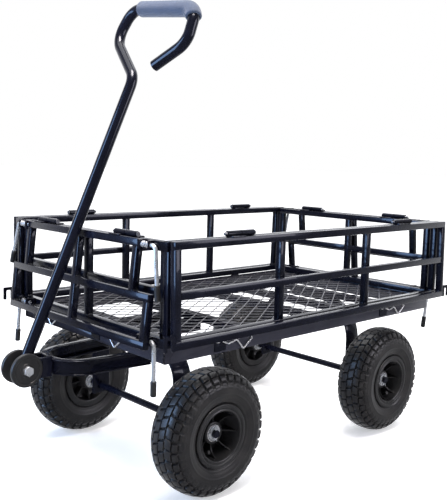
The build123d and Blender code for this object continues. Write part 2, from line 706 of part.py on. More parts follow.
def section_edges(inset):
    """The tyre section's edges from the bead to the crown, on the wheel's outer side."""
    bead = [(radius, 0, BEAD_HALF - inset) for radius in (RIM_R + BEAD_FIT, FLANGE_R + 1)]
    sidewall = (SIDEWALL_R, 0, WHEEL_W / 2 - inset)
    shoulder = (SHOULDER[0] - inset, 0, SHOULDER[1] - inset * 0.8)
    shoulder_mid = (SHOULDER_MID[0] - inset, 0, SHOULDER_MID[1] - inset * 0.7)
    crown_end = (CROWN_END[0] - inset, 0, CROWN_END[1] - inset * 0.5)
    return [
        Line(*bead),
        ThreePointArc(bead[1], sidewall, shoulder),
        ThreePointArc(shoulder, shoulder_mid, crown_end),
    ]


def tyre_profile(inset):
    """Closed outline of the tyre carcass; a positive inset gives its inner surface."""
    outer = section_edges(inset)
    inner = [mirror(edge, about=Plane.XY) for edge in outer]
    crown = ThreePointArc(outer[-1] @ 1, (WHEEL_R - inset, 0, 0), inner[-1] @ 1)
    floor = Line(inner[0] @ 0, outer[0] @ 0)
    return Wire.combine([edge for shape in (*outer, *inner, crown, floor) for edge in shape.edges()])[0]


def tyre():
    return ring_of(tyre_profile(0)) - ring_of(tyre_profile(TYRE_WALL)) - cavity_opening()


def cavity_opening():
    """Opens the tyre between its beads, where it sits on the rim."""
    return Cylinder(FLANGE_R, 2 * (BEAD_HALF - TYRE_WALL))


def inner_tube():
    outside = TYRE_WALL + TUBE_GAP
    skin = ring_of(tyre_profile(outside)) - ring_of(tyre_profile(outside + TUBE_SKIN))
    return skin + tube_floor()


def tube_floor():
    bore = RIM_R + BEAD_FIT
    length = 2 * (BEAD_HALF - TYRE_WALL - TUBE_GAP)
    return Cylinder(bore + TUBE_SKIN, length) - Cylinder(bore, length)


def rim_rib():
    """One rib from the hub to the barrel, its outer edge rising to the barrel."""
    inner = HUB_R - 1
    outer = RIM_R - 1
    corners = [(inner, 0, RIB_IN), (outer, 0, RIB_IN), (outer, 0, RIB_OUT_RIM), (inner, 0, RIB_OUT_HUB)]
    return extrude(Face(Wire.make_polygon(corners, close=True)), amount=RIB_T / 2, dir=(0, 1, 0), both=True)


def rim():
    """Moulded wheel: barrel, two flanges, a web with ribs, and a hub recessed on the outside."""
    inside = RIM_R - RIM_WALL
    lift = FLANGE_Y - FLANGE_T / 2
    flange = Cylinder(FLANGE_R, FLANGE_T) - Cylinder(inside, FLANGE_T)
    shape = Cylinder(RIM_R, 2 * FLANGE_Y) - Cylinder(inside, 2 * FLANGE_Y)
    shape += Pos(0, 0, lift) * flange + Pos(0, 0, -lift) * flange
    shape += Pos(0, 0, WEB_Z) * Cylinder(RIM_R - 1, WEB_T)
    shape += rod((0, 0, -HUB_IN), (0, 0, HUB_OUT), HUB_R)
    for turn in range(RIB_COUNT):
        shape += Rot(0, 0, turn * 360 / RIB_COUNT) * rim_rib()
    shape -= Cylinder(HUB_BORE_R, 2 * HUB_IN)
    seat = BEARING_W + SEAT_SPARE
    shape -= rod((0, 0, HUB_OUT - seat), (0, 0, HUB_OUT), BEARING_R)
    return shape - rod((0, 0, -HUB_IN), (0, 0, seat - HUB_IN), BEARING_R)


def bearings():
    """Two sealed ball bearings pressed in flush with the hub's ends."""
    bore = AXLE_R + RUN_FIT
    outer = pipe((0, 0, HUB_OUT - BEARING_W), (0, 0, HUB_OUT), BEARING_R, bore)
    return [outer, pipe((0, 0, -HUB_IN), (0, 0, BEARING_W - HUB_IN), BEARING_R, bore)]


# --- Yoke, clevis and handle ----------------------------------------------------------
def yoke_outline(inset):
    """Plan outline of the yoke: two splayed arms joined by a round nose."""
    radius = YOKE_R - inset
    rear_y = YOKE_REAR_Y - inset
    nose_x = YOKE_CENTRE_X + radius
    arms = [
        Line((YOKE_REAR_X, -rear_y), (YOKE_CENTRE_X, -radius)),
        ThreePointArc((YOKE_CENTRE_X, -radius), (nose_x, 0), (YOKE_CENTRE_X, radius)),
        Line((YOKE_CENTRE_X, radius), (YOKE_REAR_X, rear_y)),
        Line((YOKE_REAR_X, rear_y), (YOKE_REAR_X, -rear_y)),
    ]
    return make_face([edge for line in arms for edge in line.edges()])


def yoke_strap():
    height = YOKE_TOP_Z - YOKE_LOW_Z
    band = extrude(yoke_outline(0) - yoke_outline(YOKE_T), amount=height)
    return [Pos(0, 0, YOKE_LOW_Z) * band]


def yoke_flanges():
    """Flat rings along the top and the bottom of the yoke's front part."""
    front = block((YOKE_FLANGE_X, -BED_HALF_W, 0), (PIVOT_X, BED_HALF_W, DECK_Z))
    flat = extrude(yoke_outline(-YOKE_FLANGE_LIP) - yoke_outline(YOKE_FLANGE_W), amount=YOKE_FLANGE_T)
    return [(Pos(0, 0, z) * flat) & front for z in (YOKE_TOP_Z, YOKE_LOW_Z - YOKE_FLANGE_T)]


def clevis_disc(side):
    inner = (PIVOT_X, side * DISC_IN_Y, PIVOT_Z)
    outer = (PIVOT_X, side * DISC_OUT_Y, PIVOT_Z)
    disc = rod(inner, outer, DISC_R) - rod(inner, outer, PIVOT_R + RUN_FIT)
    rims = disc.edges().filter_by(GeomType.CIRCLE).sort_by(SortBy.RADIUS)[-2:]
    return fillet(rims, DISC_ROUND)


def clevis_discs():
    return [clevis_disc(side) for side in (-1, 1)]


def clevis_bracket():
    """Channel between the yoke's nose and the two discs."""
    nose = YOKE_CENTRE_X + YOKE_R
    reach = DISC_OUT_Y + 1
    web_end = nose + CLEVIS_WEB_T
    shape = block((nose, -DISC_OUT_Y, CLEVIS_LOW_Z), (web_end, DISC_OUT_Y, CLEVIS_TOP_Z))
    for side in (-1, 1):
        cheek_y = sorted((side * DISC_IN_Y, side * DISC_OUT_Y))
        shape += block((nose, cheek_y[0], CLEVIS_LOW_Z), (PIVOT_X, cheek_y[1], CLEVIS_TOP_Z))
    shape -= rod((PIVOT_X, -reach, PIVOT_Z), (PIVOT_X, reach, PIVOT_Z), DISC_R)
    for z in (YOKE_TOP_Z, YOKE_LOW_Z - YOKE_FLANGE_T):
        shape -= block((nose, -reach, z), (nose + YOKE_FLANGE_LIP, reach, z + YOKE_FLANGE_T))
    return [shape]


def pivot_bolt():
    """Hexagon bolt through the discs and the handle's bush, with its nut."""
    shank_end = -DISC_OUT_Y - PIVOT_THREAD_END
    shank = rod((PIVOT_X, shank_end, PIVOT_Z), (PIVOT_X, DISC_OUT_Y, PIVOT_Z), PIVOT_R)
    head_plane = Plane(origin=(PIVOT_X, DISC_OUT_Y, PIVOT_Z), z_dir=(0, 1, 0))
    nut_plane = Plane(origin=(PIVOT_X, -DISC_OUT_Y, PIVOT_Z), z_dir=(0, -1, 0))
    nut = nut_plane * hexagon(PIVOT_HEAD_R, PIVOT_NUT_H)
    return [shank + head_plane * hexagon(PIVOT_HEAD_R, PIVOT_HEAD_H), nut - shank]


def handle_plane():
    """Plane of the handle: local X is sideways, local Y runs up the shaft."""
    lean = radians(HANDLE_LEAN)
    sideways = Vector(0, 1, 0).rotate(Axis.X, -HANDLE_PLAY)
    facing = Vector(cos(lean), 0, sin(lean)).rotate(Axis.X, -HANDLE_PLAY)
    return Plane(origin=(PIVOT_X, 0, PIVOT_Z), x_dir=sideways, z_dir=facing)


def handle_path(points, bends):
    flat = FilletPolyline(*points, radius=bends)
    return handle_plane() * flat


def swept_tube(path, radius, bore):
    start = Plane(origin=path @ 0, z_dir=path % 0)
    return sweep(start * (Circle(radius) - Circle(bore)), path=path)


def bush_block(radius):
    reach = DISC_IN_Y - BUSH_PLAY
    return rod((PIVOT_X, -reach, PIVOT_Z), (PIVOT_X, reach, PIVOT_Z), radius)


def handle_tube():
    points = [(0, 0), SHAFT_TOP, BULGE, GRIP_LEFT, GRIP_RIGHT, LOOP_LOW, LOOP_END]
    tube = swept_tube(handle_path(points, HANDLE_BENDS), HANDLE_R, HANDLE_R - HANDLE_WALL)
    return [max((tube - bush_block(BUSH_R)).solids(), key=lambda solid: solid.volume)]


def handle_bush():
    return [bush_block(BUSH_R) - bush_block(PIVOT_R + RUN_FIT)]


def handle_grip():
    """Foam grip over the top run and the bend beside it."""
    way = (Vector(*LOOP_LOW) - Vector(*GRIP_RIGHT)).normalized()
    turn = way.get_angle(Vector(*GRIP_RIGHT) - Vector(*GRIP_START))
    run_in = HANDLE_BENDS[3] * tan(radians(turn / 2)) + GRIP_PAST_BEND
    last = Vector(*GRIP_RIGHT) + way * run_in
    path = handle_path([GRIP_START, GRIP_RIGHT, (last.X, last.Y)], HANDLE_BENDS[3])
    return [swept_tube(path, GRIP_R, HANDLE_R + GRIP_FIT)]


# --- Write every node -----------------------------------------------------------------
os.makedirs("parts", exist_ok=True)

write("bed_frame", bed_frame())
write("deck_mesh", deck_mesh())
write("deck_cross_members", cross_members())
write("mount_bolts", mount_bolts())
for side_wall in ("left", "right"):
    write(f"{side_wall}_inner_panel", inner_side_panel(side_wall))
    write(f"{side_wall}_outer_panel", outer_side_panel(side_wall))
for end_wall in ("front", "rear"):
    write(f"{end_wall}_inner_panel", inner_end_panel(end_wall))
    write(f"{end_wall}_outer_panel", outer_end_panel(end_wall))
write("hinge_pins", hinge_pins())
write("panel_tabs", panel_tabs())
write("panel_wire_clips", wire_clips())
write("latch_brackets", latch_brackets())
write("latch_springs", latch_springs())
for latch_name, latch_end, latch_side, latch_z, latch_lean in latch_names():
    write(latch_name, latch_rod(latch_end, latch_side, latch_z, latch_lean))

write("rear_axle_bracket", rear_axle_bracket())
write("rear_axle", axle(REAR_AXLE_X))
write("rear_axle_retainers", axle_retainers(REAR_AXLE_X))
write("bolster", bolster())
write("upper_turntable_disc", turntable_disc(UPPER_DISC_Z, PLATE_T, TURNTABLE_R))
write("king_pin", king_pin())

write("lower_turntable_disc", turntable_disc(FRONT_ARCH_TOP, PLATE_T, TURNTABLE_R))
write("turntable_washer", turntable_disc(WASHER_Z, WASHER_T, WASHER_R))
write("front_axle_bracket", front_axle_bracket())
write("front_axle", axle(FRONT_AXLE_X))
write("front_axle_retainers", axle_retainers(FRONT_AXLE_X))
write("yoke_strap", yoke_strap())
write("yoke_flanges", yoke_flanges())
write("clevis_bracket", clevis_bracket())
write("clevis_discs", clevis_discs())
write("pivot_bolt", pivot_bolt())
write("handle_tube", handle_tube())
write("handle_bush", handle_bush())
write("handle_grip", handle_grip())

wheel_parts = {"tyre": [tyre()], "inner_tube": [inner_tube()], "rim": [rim()], "bearings": bearings()}
wheels = {"front": FRONT_AXLE_X, "rear": REAR_AXLE_X}
for wheel_end, wheel_x in wheels.items():
    for wheel_side, wheel_sign in (("left", 1), ("right", -1)):
        place = wheel_place(wheel_x, wheel_sign)
        for piece, piece_solids in wheel_parts.items():
            write(f"{wheel_end}_{wheel_side}_{piece}", [place * solid for solid in piece_solids])
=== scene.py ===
import json
from math import atan2, ceil, cos, hypot, pi, radians, sin, tan

import bmesh
import bpy
import numpy as np
from mathutils import Matrix, Vector


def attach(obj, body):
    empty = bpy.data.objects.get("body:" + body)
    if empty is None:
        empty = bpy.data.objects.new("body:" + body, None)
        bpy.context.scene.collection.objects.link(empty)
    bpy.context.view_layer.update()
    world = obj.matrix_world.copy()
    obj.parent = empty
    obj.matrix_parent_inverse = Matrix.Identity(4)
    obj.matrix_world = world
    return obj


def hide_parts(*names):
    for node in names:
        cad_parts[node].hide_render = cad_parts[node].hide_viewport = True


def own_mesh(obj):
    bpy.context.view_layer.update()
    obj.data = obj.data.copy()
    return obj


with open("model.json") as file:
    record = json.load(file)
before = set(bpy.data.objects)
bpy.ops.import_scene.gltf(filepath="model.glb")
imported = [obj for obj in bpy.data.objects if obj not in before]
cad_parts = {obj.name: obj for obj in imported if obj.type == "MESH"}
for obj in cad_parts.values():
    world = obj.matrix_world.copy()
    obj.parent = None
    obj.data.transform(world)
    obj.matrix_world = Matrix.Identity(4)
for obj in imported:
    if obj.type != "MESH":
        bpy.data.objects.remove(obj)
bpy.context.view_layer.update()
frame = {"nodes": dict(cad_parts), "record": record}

# Dimensions below are millimetres about the middle of the bed, with the ground at z = 0.
# The row's own frame sits ORIGIN_X further forward and is in metres.
ORIGIN_X = 68.4505
TO_ROW = Matrix.Scale(0.001, 4) @ Matrix.Translation((-ORIGIN_X, 0, 0))

TUBE = 15.0                       # square tube of the walls
TUBE_EDGE_R = 1.8                 # its rounded edges
RAIL_LOW_Z, RAIL_MID_Z = 331.0, 421.0
HANGING_LOW_Z, HANGING_MID_Z = 325.0, 412.0
SIDE_TOP_Z, END_TOP_Z = 527.0, 524.0
SIDE_HALF_L = 450.0
SIDE_INNER_Y, SIDE_OUTER_Y = 264.5, 283.0
END_INNER_X, END_OUTER_X = 428.0, 446.5
END_INNER_HALF, END_OUTER_HALF, END_UPPER_HALF = 262.0, 252.0, 204.0
SIDE_POSTS = (-147.5, 147.5)
SIDE_HINGE = (281.25, 533.0)      # outwards place and height of the hinge line
END_HINGE = (444.75, 530.0)
SIDE_LEAN, END_LEAN = 1.5, 6.5    # how far the hanging panels lean outwards, in degrees
SIDE_HINGE_U, END_HINGE_U = 275.0, 145.0
# Degrees from the left wall to each wall
TURN = {"left": 0, "right": 180, "front": -90, "rear": 90}
SIGN = {"left": 1, "right": -1, "front": 1, "rear": -1}
WHEEL_R, WHEEL_Y = 130.0, 236.0
AXLE_X = {"front": 304.0, "rear": -274.0}
AXLE_GAP_R = 8.1                  # bore of everything that sits on an axle
PIVOT = Vector((588.0, 0.0, 256.0))

SHARP_ANGLE = 38                  # edges bent by more than this many degrees stay sharp


# --- Materials ------------------------------------------------------------------------
def material(name, colour, **settings):
    """A Principled material; the shader's constants are set on its own sockets."""
    made = bpy.data.materials.new(name)
    made.use_nodes = True
    shader = made.node_tree.nodes["Principled BSDF"]
    shader.inputs["Base Color"].default_value = (*colour, 1)
    for socket, value in settings.items():
        shader.inputs[socket.replace("_", " ")].default_value = value
    return made


def add_node(tree, kind, **values):
    """A new node with its sockets, or its own settings, filled in by name."""
    node = tree.nodes.new(kind)
    for key, value in values.items():
        if key in node.inputs:
            node.inputs[key].default_value = value
        else:
            setattr(node, key, value)
    return node


def texture(made, kind, scale, **values):
    """A texture in the piece's own coordinates, in metres."""
    place = add_node(made.node_tree, "ShaderNodeTexCoord")
    node = add_node(made.node_tree, kind, Scale=scale, **values)
    made.node_tree.links.new(place.outputs["Object"], node.inputs["Vector"])
    return node


def vary(made, socket, source, low, high):
    """Drives one socket of the shader from a texture, between two values or colours."""
    tree = made.node_tree
    links = tree.links
    ramp = add_node(tree, "ShaderNodeMapRange", **{"From Min": 0.3, "From Max": 0.7})
    links.new(source, ramp.inputs["Value"])
    shader = tree.nodes["Principled BSDF"]
    if isinstance(low, tuple):
        mix = add_node(tree, "ShaderNodeMix", data_type="RGBA")
        mix.inputs["A"].default_value = (*low, 1)
        mix.inputs["B"].default_value = (*high, 1)
        links.new(ramp.outputs["Result"], mix.inputs["Factor"])
        links.new(mix.outputs["Result"], shader.inputs[socket])
    else:
        ramp.inputs["To Min"].default_value = low
        ramp.inputs["To Max"].default_value = high
        links.new(ramp.outputs["Result"], shader.inputs[socket])


def bumpy(made, source, strength, distance):
    """Fine relief from a texture; distance is in metres."""
    tree = made.node_tree
    bump = add_node(tree, "ShaderNodeBump", Strength=strength, Distance=distance)
    tree.links.new(source, bump.inputs["Height"])
    tree.links.new(bump.outputs["Normal"], tree.nodes["Principled BSDF"].inputs["Normal"])


def powder_coat(name, colour, lighter, rough):
    """Gloss black paint with slight orange peel. Its reflections are tinted blue: a painted bluish cast on
    the highlights, standing in for the studio's cool light.
    """
    made = material(name, colour, Specular_IOR_Level=0.16, Coat_Weight=0.4, Coat_Roughness=0.05,
                    Specular_Tint=(0.72, 0.8, 1.0, 1.0))
    cloud = texture(made, "ShaderNodeTexNoise", 14.0, Detail=5.0)
    peel = texture(made, "ShaderNodeTexNoise", 900.0, Detail=2.0)
    vary(made, "Base Color", cloud.outputs["Fac"], colour, lighter)
    vary(made, "Roughness", cloud.outputs["Fac"], *rough)
    bumpy(made, peel.outputs["Fac"], 0.12, 0.0004)
    return made


def plated(name, colour, darker, rough, grain):
    """Plated or ground steel with cloudy tone and fine grain."""
    made = material(name, colour, Metallic=0.75)
    cloud = texture(made, "ShaderNodeTexNoise", 60.0, Detail=6.0)
    fine = texture(made, "ShaderNodeTexNoise", grain, Detail=3.0)
    vary(made, "Base Color", cloud.outputs["Fac"], darker, colour)
    vary(made, "Roughness", cloud.outputs["Fac"], *rough)
    bumpy(made, fine.outputs["Fac"], 0.15, 0.0003)
    return made


def moulded(name, colour, lighter, rough, grain, strength):
    """Moulded rubber or plastic."""
    made = material(name, colour)
    cloud = texture(made, "ShaderNodeTexNoise", 25.0, Detail=6.0)
    fine = texture(made, "ShaderNodeTexNoise", grain, Detail=4.0)
    vary(made, "Base Color", cloud.outputs["Fac"], colour, lighter)
    vary(made, "Roughness", cloud.outputs["Fac"], *rough)
    bumpy(made, fine.outputs["Fac"], strength, 0.0006)
    return made


def foam(name, colour, darker):
    """Closed-cell foam."""
    made = material(name, colour, Sheen_Weight=0.25, Sheen_Roughness=0.6)
    cells = texture(made, "ShaderNodeTexVoronoi", 950.0)
    cloud = texture(made, "ShaderNodeTexNoise", 40.0, Detail=7.0)
    vary(made, "Base Color", cloud.outputs["Fac"], darker, colour)
    vary(made, "Roughness", cloud.outputs["Fac"], 0.72, 0.92)
    bumpy(made, cells.outputs["Distance"], 0.5, 0.0005)
    return made


paint = powder_coat("black_powder_coat", (0.0025, 0.0027, 0.006), (0.0045, 0.005, 0.011), (0.16, 0.3))
# Lighter copy of the black powder coat for the bed's skirt: painted light, standing in for the brighter
# light that falls on its faces
skirt_coat_with_painted_light = powder_coat("skirt_powder_coat_painted_light", (0.018, 0.018, 0.026), (0.03, 0.03, 0.041), (0.26, 0.38))
# Much lighter copy of the black powder coat for the deck mesh: painted glints, standing in for the
# reflections on its strands
mesh_coat_with_painted_glints = powder_coat("mesh_powder_coat_painted_glints", (0.05, 0.05, 0.055), (0.09, 0.09, 0.1), (0.2, 0.34))
dull_zinc = plated("dull_zinc", (0.2, 0.21, 0.23), (0.1, 0.1, 0.11), (0.3, 0.45), 700.0)
zinc = plated("zinc_plate", (0.80, 0.82, 0.85), (0.58, 0.62, 0.66), (0.22, 0.42), 700.0)
wire = plated("spring_wire", (0.88, 0.88, 0.88), (0.7, 0.71, 0.73), (0.2, 0.35), 900.0)
bearing = plated("bearing_steel", (0.76, 0.77, 0.79), (0.6, 0.6, 0.62), (0.14, 0.28), 1200.0)
rubber = moulded("tyre_rubber", (0.010, 0.010, 0.0115), (0.019, 0.018, 0.018), (0.27, 0.44), 420.0, 0.5)
tube_rubber = moulded("tube_rubber", (0.015, 0.015, 0.015), (0.022, 0.022, 0.022), (0.5, 0.65), 400.0, 0.2)
plastic = moulded("rim_plastic", (0.013, 0.013, 0.014), (0.02, 0.02, 0.021), (0.26, 0.4), 900.0, 0.15)
vinyl = moulded("black_vinyl", (0.012, 0.012, 0.013), (0.02, 0.02, 0.021), (0.34, 0.5), 1100.0, 0.15)
nylon = moulded("nylon", (0.55, 0.54, 0.5), (0.62, 0.61, 0.57), (0.4, 0.55), 600.0, 0.1)
grip_foam = foam("grip_foam", (0.027, 0.048, 0.097), (0.018, 0.034, 0.071))


# --- Mesh helpers ---------------------------------------------------------------------
class Shape:
    """Vertices and faces gathered into one piece."""

    def __init__(self):
        self.points = []
        self.faces = []

    def add(self, points, faces, place=None):
        start = len(self.points)
        if place is not None:
            points = [place @ Vector(point) for point in points]
        self.points += [tuple(point) for point in points]
        self.faces += [[start + index for index in face] for face in faces]
        return self

    def join(self, other, place=None):
        return self.add(other.points, other.faces, place)


def taken_from(built):
    """The shape that a bmesh holds."""
    built.verts.index_update()
    faces = [[vert.index for vert in face.verts] for face in built.faces]
    shape = Shape().add([vert.co for vert in built.verts], faces)
    built.free()
    return shape


def lowest_first(face):
    """The same face, listed from its lowest vertex."""
    start = face.index(min(face))
    return face[start:] + face[:start]


def rounded_box(low, high, radius=TUBE_EDGE_R, steps=2):
    """A box with rounded edges, as in rolled square tube."""
    built = bmesh.new()
    bmesh.ops.create_cube(built, size=1)
    size = [b - a for a, b in zip(low, high)]
    middle = [(a + b) / 2 for a, b in zip(low, high)]
    built.transform(Matrix.Translation(middle) @ Matrix.Diagonal((*size, 1)))
    bmesh.ops.bevel(built, geom=built.edges[:], offset=radius, segments=steps, profile=0.5, affect="EDGES")
    return taken_from(built)


def lathe(profile, steps, place=None, closed=False):
    """Turns (radius, height) points about Z. A closed profile makes a ring."""
    points, faces = [], []
    count = len(profile)
    for turn in range(steps):
        angle = 2 * pi * turn / steps
        points += [(r * cos(angle), r * sin(angle), z) for r, z in profile]
    spans = count if closed else count - 1
    for turn in range(steps):
        here, there = turn * count, (turn + 1) % steps * count
        for i in range(spans):
            j = (i + 1) % count
            faces.append([here + i, there + i, there + j, here + j])
    return Shape().add(points, faces, place)


def rounded_path(corners, radii, step):
    """Points along straight runs joined by tangent arcs, at most a step apart on the arcs."""
    corners = [Vector(corner) for corner in corners]
    points = [corners[0]]
    for before, corner, after, radius in zip(corners, corners[1:], corners[2:], radii):
        back, ahead = (before - corner).normalized(), (after - corner).normalized()
        half = back.angle(ahead) / 2
        middle = corner + (back + ahead).normalized() * radius / sin(half)
        start, end = corner + back * radius / tan(half), corner + ahead * radius / tan(half)
        from_middle, to_end = (start - middle).normalized(), (end - middle).normalized()
        sweep = from_middle.angle(to_end)
        count = max(3, ceil(radius * sweep / step))
        for i in range(count + 1):
            share = i / count
            mixed = from_middle * sin((1 - share) * sweep) + to_end * sin(share * sweep)
            points.append(middle + mixed.normalized() * radius)
    points.append(corners[-1])
    return points


def swept(points, sizes, sides, caps=True):
    """A round section carried along points; sizes is one radius or one for each point."""
    if not hasattr(sizes, "__len__"):
        sizes = [sizes] * len(points)
    ways = []
    for i in range(len(points)):
        way = points[min(i + 1, len(points) - 1)] - points[max(i - 1, 0)]
        ways.append(way.normalized())
    across = ways[0].orthogonal().normalized()
    made = []
    for point, way, size in zip(points, ways, sizes):
        across = (across - way * across.dot(way)).normalized()
        other = way.cross(across)
        for turn in range(sides):
            angle = 2 * pi * turn / sides
            made.append(point + (across * cos(angle) + other * sin(angle)) * size)
    faces = []
    for i in range(len(points) - 1):
        for turn in range(sides):
            after = (turn + 1) % sides
            here, there = i * sides, (i + 1) * sides
            faces.append([here + turn, here + after, there + after, there + turn])
    if caps:
        faces.append(list(range(sides))[::-1])
        faces.append([(len(points) - 1) * sides + turn for turn in range(sides)])
    return Shape().add(made, faces)


def dome_ends(points, radius, rounding):
    """A path and its radii, with both ends rounded off."""
    steps = 5
    first = (points[1] - points[0]).normalized()
    last = (points[-2] - points[-1]).normalized()
    path, sizes = [], []
    for i in range(steps):
        angle = i / steps * pi / 2
        path.append(points[0] + first * rounding * (1 - cos(angle)))
        sizes.append(radius - rounding * (1 - sin(angle)))
    path.append(points[0] + first * rounding)
    sizes.append(radius)
    clear = rounding * 1.2
    inner = [p for p in points if min((p - points[0]).length, (p - points[-1]).length) > clear]
    path += inner
    sizes += [radius] * len(inner)
    path.append(points[-1] + last * rounding)
    sizes.append(radius)
    for i in reversed(range(steps)):
        angle = i / steps * pi / 2
        path.append(points[-1] + last * rounding * (1 - cos(angle)))
        sizes.append(radius - rounding * (1 - sin(angle)))
    return path, sizes


def finish_mesh(mesh, made, angle):
    """Material and shading of a mesh."""
    mesh.materials.clear()
    mesh.materials.append(made)
    mesh.shade_smooth()
    mesh.set_sharp_from_angle(angle=radians(angle))


def piece(name, shape, made, body, replaces=(), angle=SHARP_ANGLE, place=TO_ROW):
    """Turns a gathered shape into an object of the row that rides on a body."""
    mesh = bpy.data.meshes.new(name)
    mesh.from_pydata([place @ Vector(point) for point in shape.points], [], shape.faces)
    mesh.update()
    finish_mesh(mesh, made, angle)
    thing = bpy.data.objects.new(name, mesh)
    bpy.context.scene.collection.objects.link(thing)
    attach(thing, body)
    if replaces:
        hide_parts(*replaces)
    return thing


def body_of(node):
    """The body that a CAD node belongs to."""
    for body, members in frame["record"]["behaviour"]["bodies"].items():
        if node in members:
            return body
    raise ValueError(node)


def dressed(node, made, width, steps=1):
    """A copy of a CAD node's mesh with its sharp edges rounded over by width millimetres."""
    built = bmesh.new()
    built.from_mesh(frame["nodes"][node].data)
    bmesh.ops.remove_doubles(built, verts=built.verts[:], dist=1e-6)
    bmesh.ops.dissolve_limit(built, angle_limit=radians(0.6), verts=built.verts[:], edges=built.edges[:])
    limit = radians(SHARP_ANGLE)
    sharp = [e for e in built.edges if len(e.link_faces) == 2 and abs(e.calc_face_angle_signed(0)) > limit]
    bmesh.ops.bevel(built, geom=sharp, offset=width / 1000, segments=steps, profile=0.5,
                    affect="EDGES", clamp_overlap=False)
    mesh = bpy.data.meshes.new(node + "_shape")
    built.to_mesh(mesh)
    built.free()
    finish_mesh(mesh, made, SHARP_ANGLE)
    thing = bpy.data.objects.new(node + "_shape", mesh)
    bpy.context.scene.collection.objects.link(thing)
    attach(thing, body_of(node))
    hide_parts(node)


def repaint(node, made):
    """Gives a CAD node that is shown as it is its material."""
    materials = frame["nodes"][node].data.materials
    materials.clear()
    materials.append(made)


def wall_place(wall):
    """Turns a shape drawn for the left wall to another wall."""
    return TO_ROW @ Matrix.Rotation(radians(TURN[wall]), 4, "Z")


def swing(hinge, angle):
    """Swings a shape drawn for the left wall outwards about its hinge line."""
    there = Matrix.Translation((0, hinge[0], hinge[1]))
    return there @ Matrix.Rotation(radians(angle), 4, "X") @ there.inverted()


# --- Wall panels ----------------------------------------------------------------------
WELD_RIPPLE = 1.6                 # length of one ripple of a weld bead
WELD_R, FLAT_WELD_R = 1.7, 1.2    # in a corner, and ground down on a flat face


def weld(start, end, radius=WELD_R):
    """A rippled weld bead between two points."""
    start, end = Vector(start), Vector(end)
    count = max(4, int((end - start).length / WELD_RIPPLE))
    points = [start.lerp(end, i / count) for i in range(count + 1)]
    sizes = [radius * (0.72 + 0.28 * abs(sin(i * 1.35))) for i in range(count + 1)]
    sizes[0] = sizes[-1] = radius * 0.5
    return swept(points, sizes, sides=6)


def rail_shape(u_low, u_high, inner_w, z):
    """A level tube; u runs along the wall and w outwards from the bed's middle."""
    return rounded_box((u_low, inner_w, z), (u_high, inner_w + TUBE, z + TUBE))


def post_shape(u, inner_w, z_low, z_high, half):
    """A post with the weld beads at its two ends; half is the end of the rails it stands on."""
    shape = Shape()
    outer_w = inner_w + TUBE
    shape.join(rounded_box((u - TUBE / 2, inner_w, z_low - 1), (u + TUBE / 2, outer_w, z_high + 1)))
    for z in (z_low, z_high):
        for w in (inner_w + 0.6, outer_w - 0.6):
            shape.join(weld((u - TUBE / 2 + 1, w, z), (u + TUBE / 2 - 1, w, z), FLAT_WELD_R))
        for side in (-1, 1):
            edge = u + side * TUBE / 2
            if abs(edge) < half - 1:
                shape.join(weld((edge, inner_w + 1.5, z), (edge, outer_w - 1.5, z)))
    return shape


def middle_rail(u_low, u_high, inner_w):
    """A middle rail between two posts, with its end welds."""
    shape = rail_shape(u_low - 1, u_high + 1, inner_w, RAIL_MID_Z)
    for u in (u_low, u_high):
        for w in (inner_w + 0.6, inner_w + TUBE - 0.6):
            shape.join(weld((u, w, RAIL_MID_Z + 1), (u, w, RAIL_MID_Z + TUBE - 1), FLAT_WELD_R))
    return shape


def plain_frame(half, inner_w, top_z, middle_posts):
    """Top rail, bottom rail and the posts between them, drawn for the left wall."""
    shape = Shape()
    end = half - TUBE / 2
    for z in (RAIL_LOW_Z, top_z - TUBE):
        shape.join(rail_shape(-half, half, inner_w, z))
    for u in (-end, *middle_posts, end):
        shape.join(post_shape(u, inner_w, RAIL_LOW_Z + TUBE, top_z - TUBE, half))
    return shape


def stepped_frame():
    """The hanging end panel: narrow above its middle rail and wide below it."""
    shape = Shape()
    wide, narrow, w = END_OUTER_HALF, END_UPPER_HALF, END_OUTER_X
    for z in (HANGING_LOW_Z, HANGING_MID_Z):
        shape.join(rail_shape(-wide, wide, w, z))
    shape.join(rail_shape(-narrow, narrow, w, END_TOP_Z - TUBE))
    for u in (TUBE / 2 - wide, 0.0, wide - TUBE / 2):
        shape.join(post_shape(u, w, HANGING_LOW_Z + TUBE, HANGING_MID_Z, wide))
    for u in (TUBE / 2 - narrow, 0.0, narrow - TUBE / 2):
        shape.join(post_shape(u, w, HANGING_MID_Z + TUBE, END_TOP_Z - TUBE, wide))
    return shape


BARREL_L, BARREL_R, BARREL_GAP = 35.0, 6.0, 0.5
LEAF_REACH, LEAF_T = 17.0, 2.5
# Section of a hinge barrel: radius and place along it
BARREL = [(3.3, 0), (5.3, 0), (BARREL_R, 0.7), (BARREL_R, BARREL_L - 0.7), (5.3, BARREL_L), (3.3, BARREL_L)]


def knuckle_shape(hinge_u, hinge_w, top_z, outwards):
    """Rolled hinge barrels with their leaves on a top rail."""
    shape = Shape()
    for u in (-hinge_u, hinge_u):
        start = u + BARREL_GAP if outwards > 0 else u - BARREL_L - BARREL_GAP
        end = start + BARREL_L
        far = hinge_w + outwards * LEAF_REACH
        leaf = sorted((hinge_w + outwards * 3.0, far))
        along = Matrix.Translation((start, hinge_w, top_z + BARREL_R)) @ Matrix.Rotation(pi / 2, 4, "Y")
        shape.join(lathe(BARREL, 28, along, closed=True))
        shape.join(rounded_box((start, leaf[0], top_z), (end, leaf[1], top_z + LEAF_T), 0.5))
        shape.join(weld((start + 2, far, top_z + 1), (end - 2, far, top_z + 1), 1.3))
    return shape


HOOK_T, HOOK_ROUND = 3.0, 2.4
HOOK_ROOT_X, HOOK_TIP_X, HOOK_END_X = 457.0, 468.0, 475.0
HOOK_THROAT_Z, HOOK_TOP_Z = 353.0, 360.0


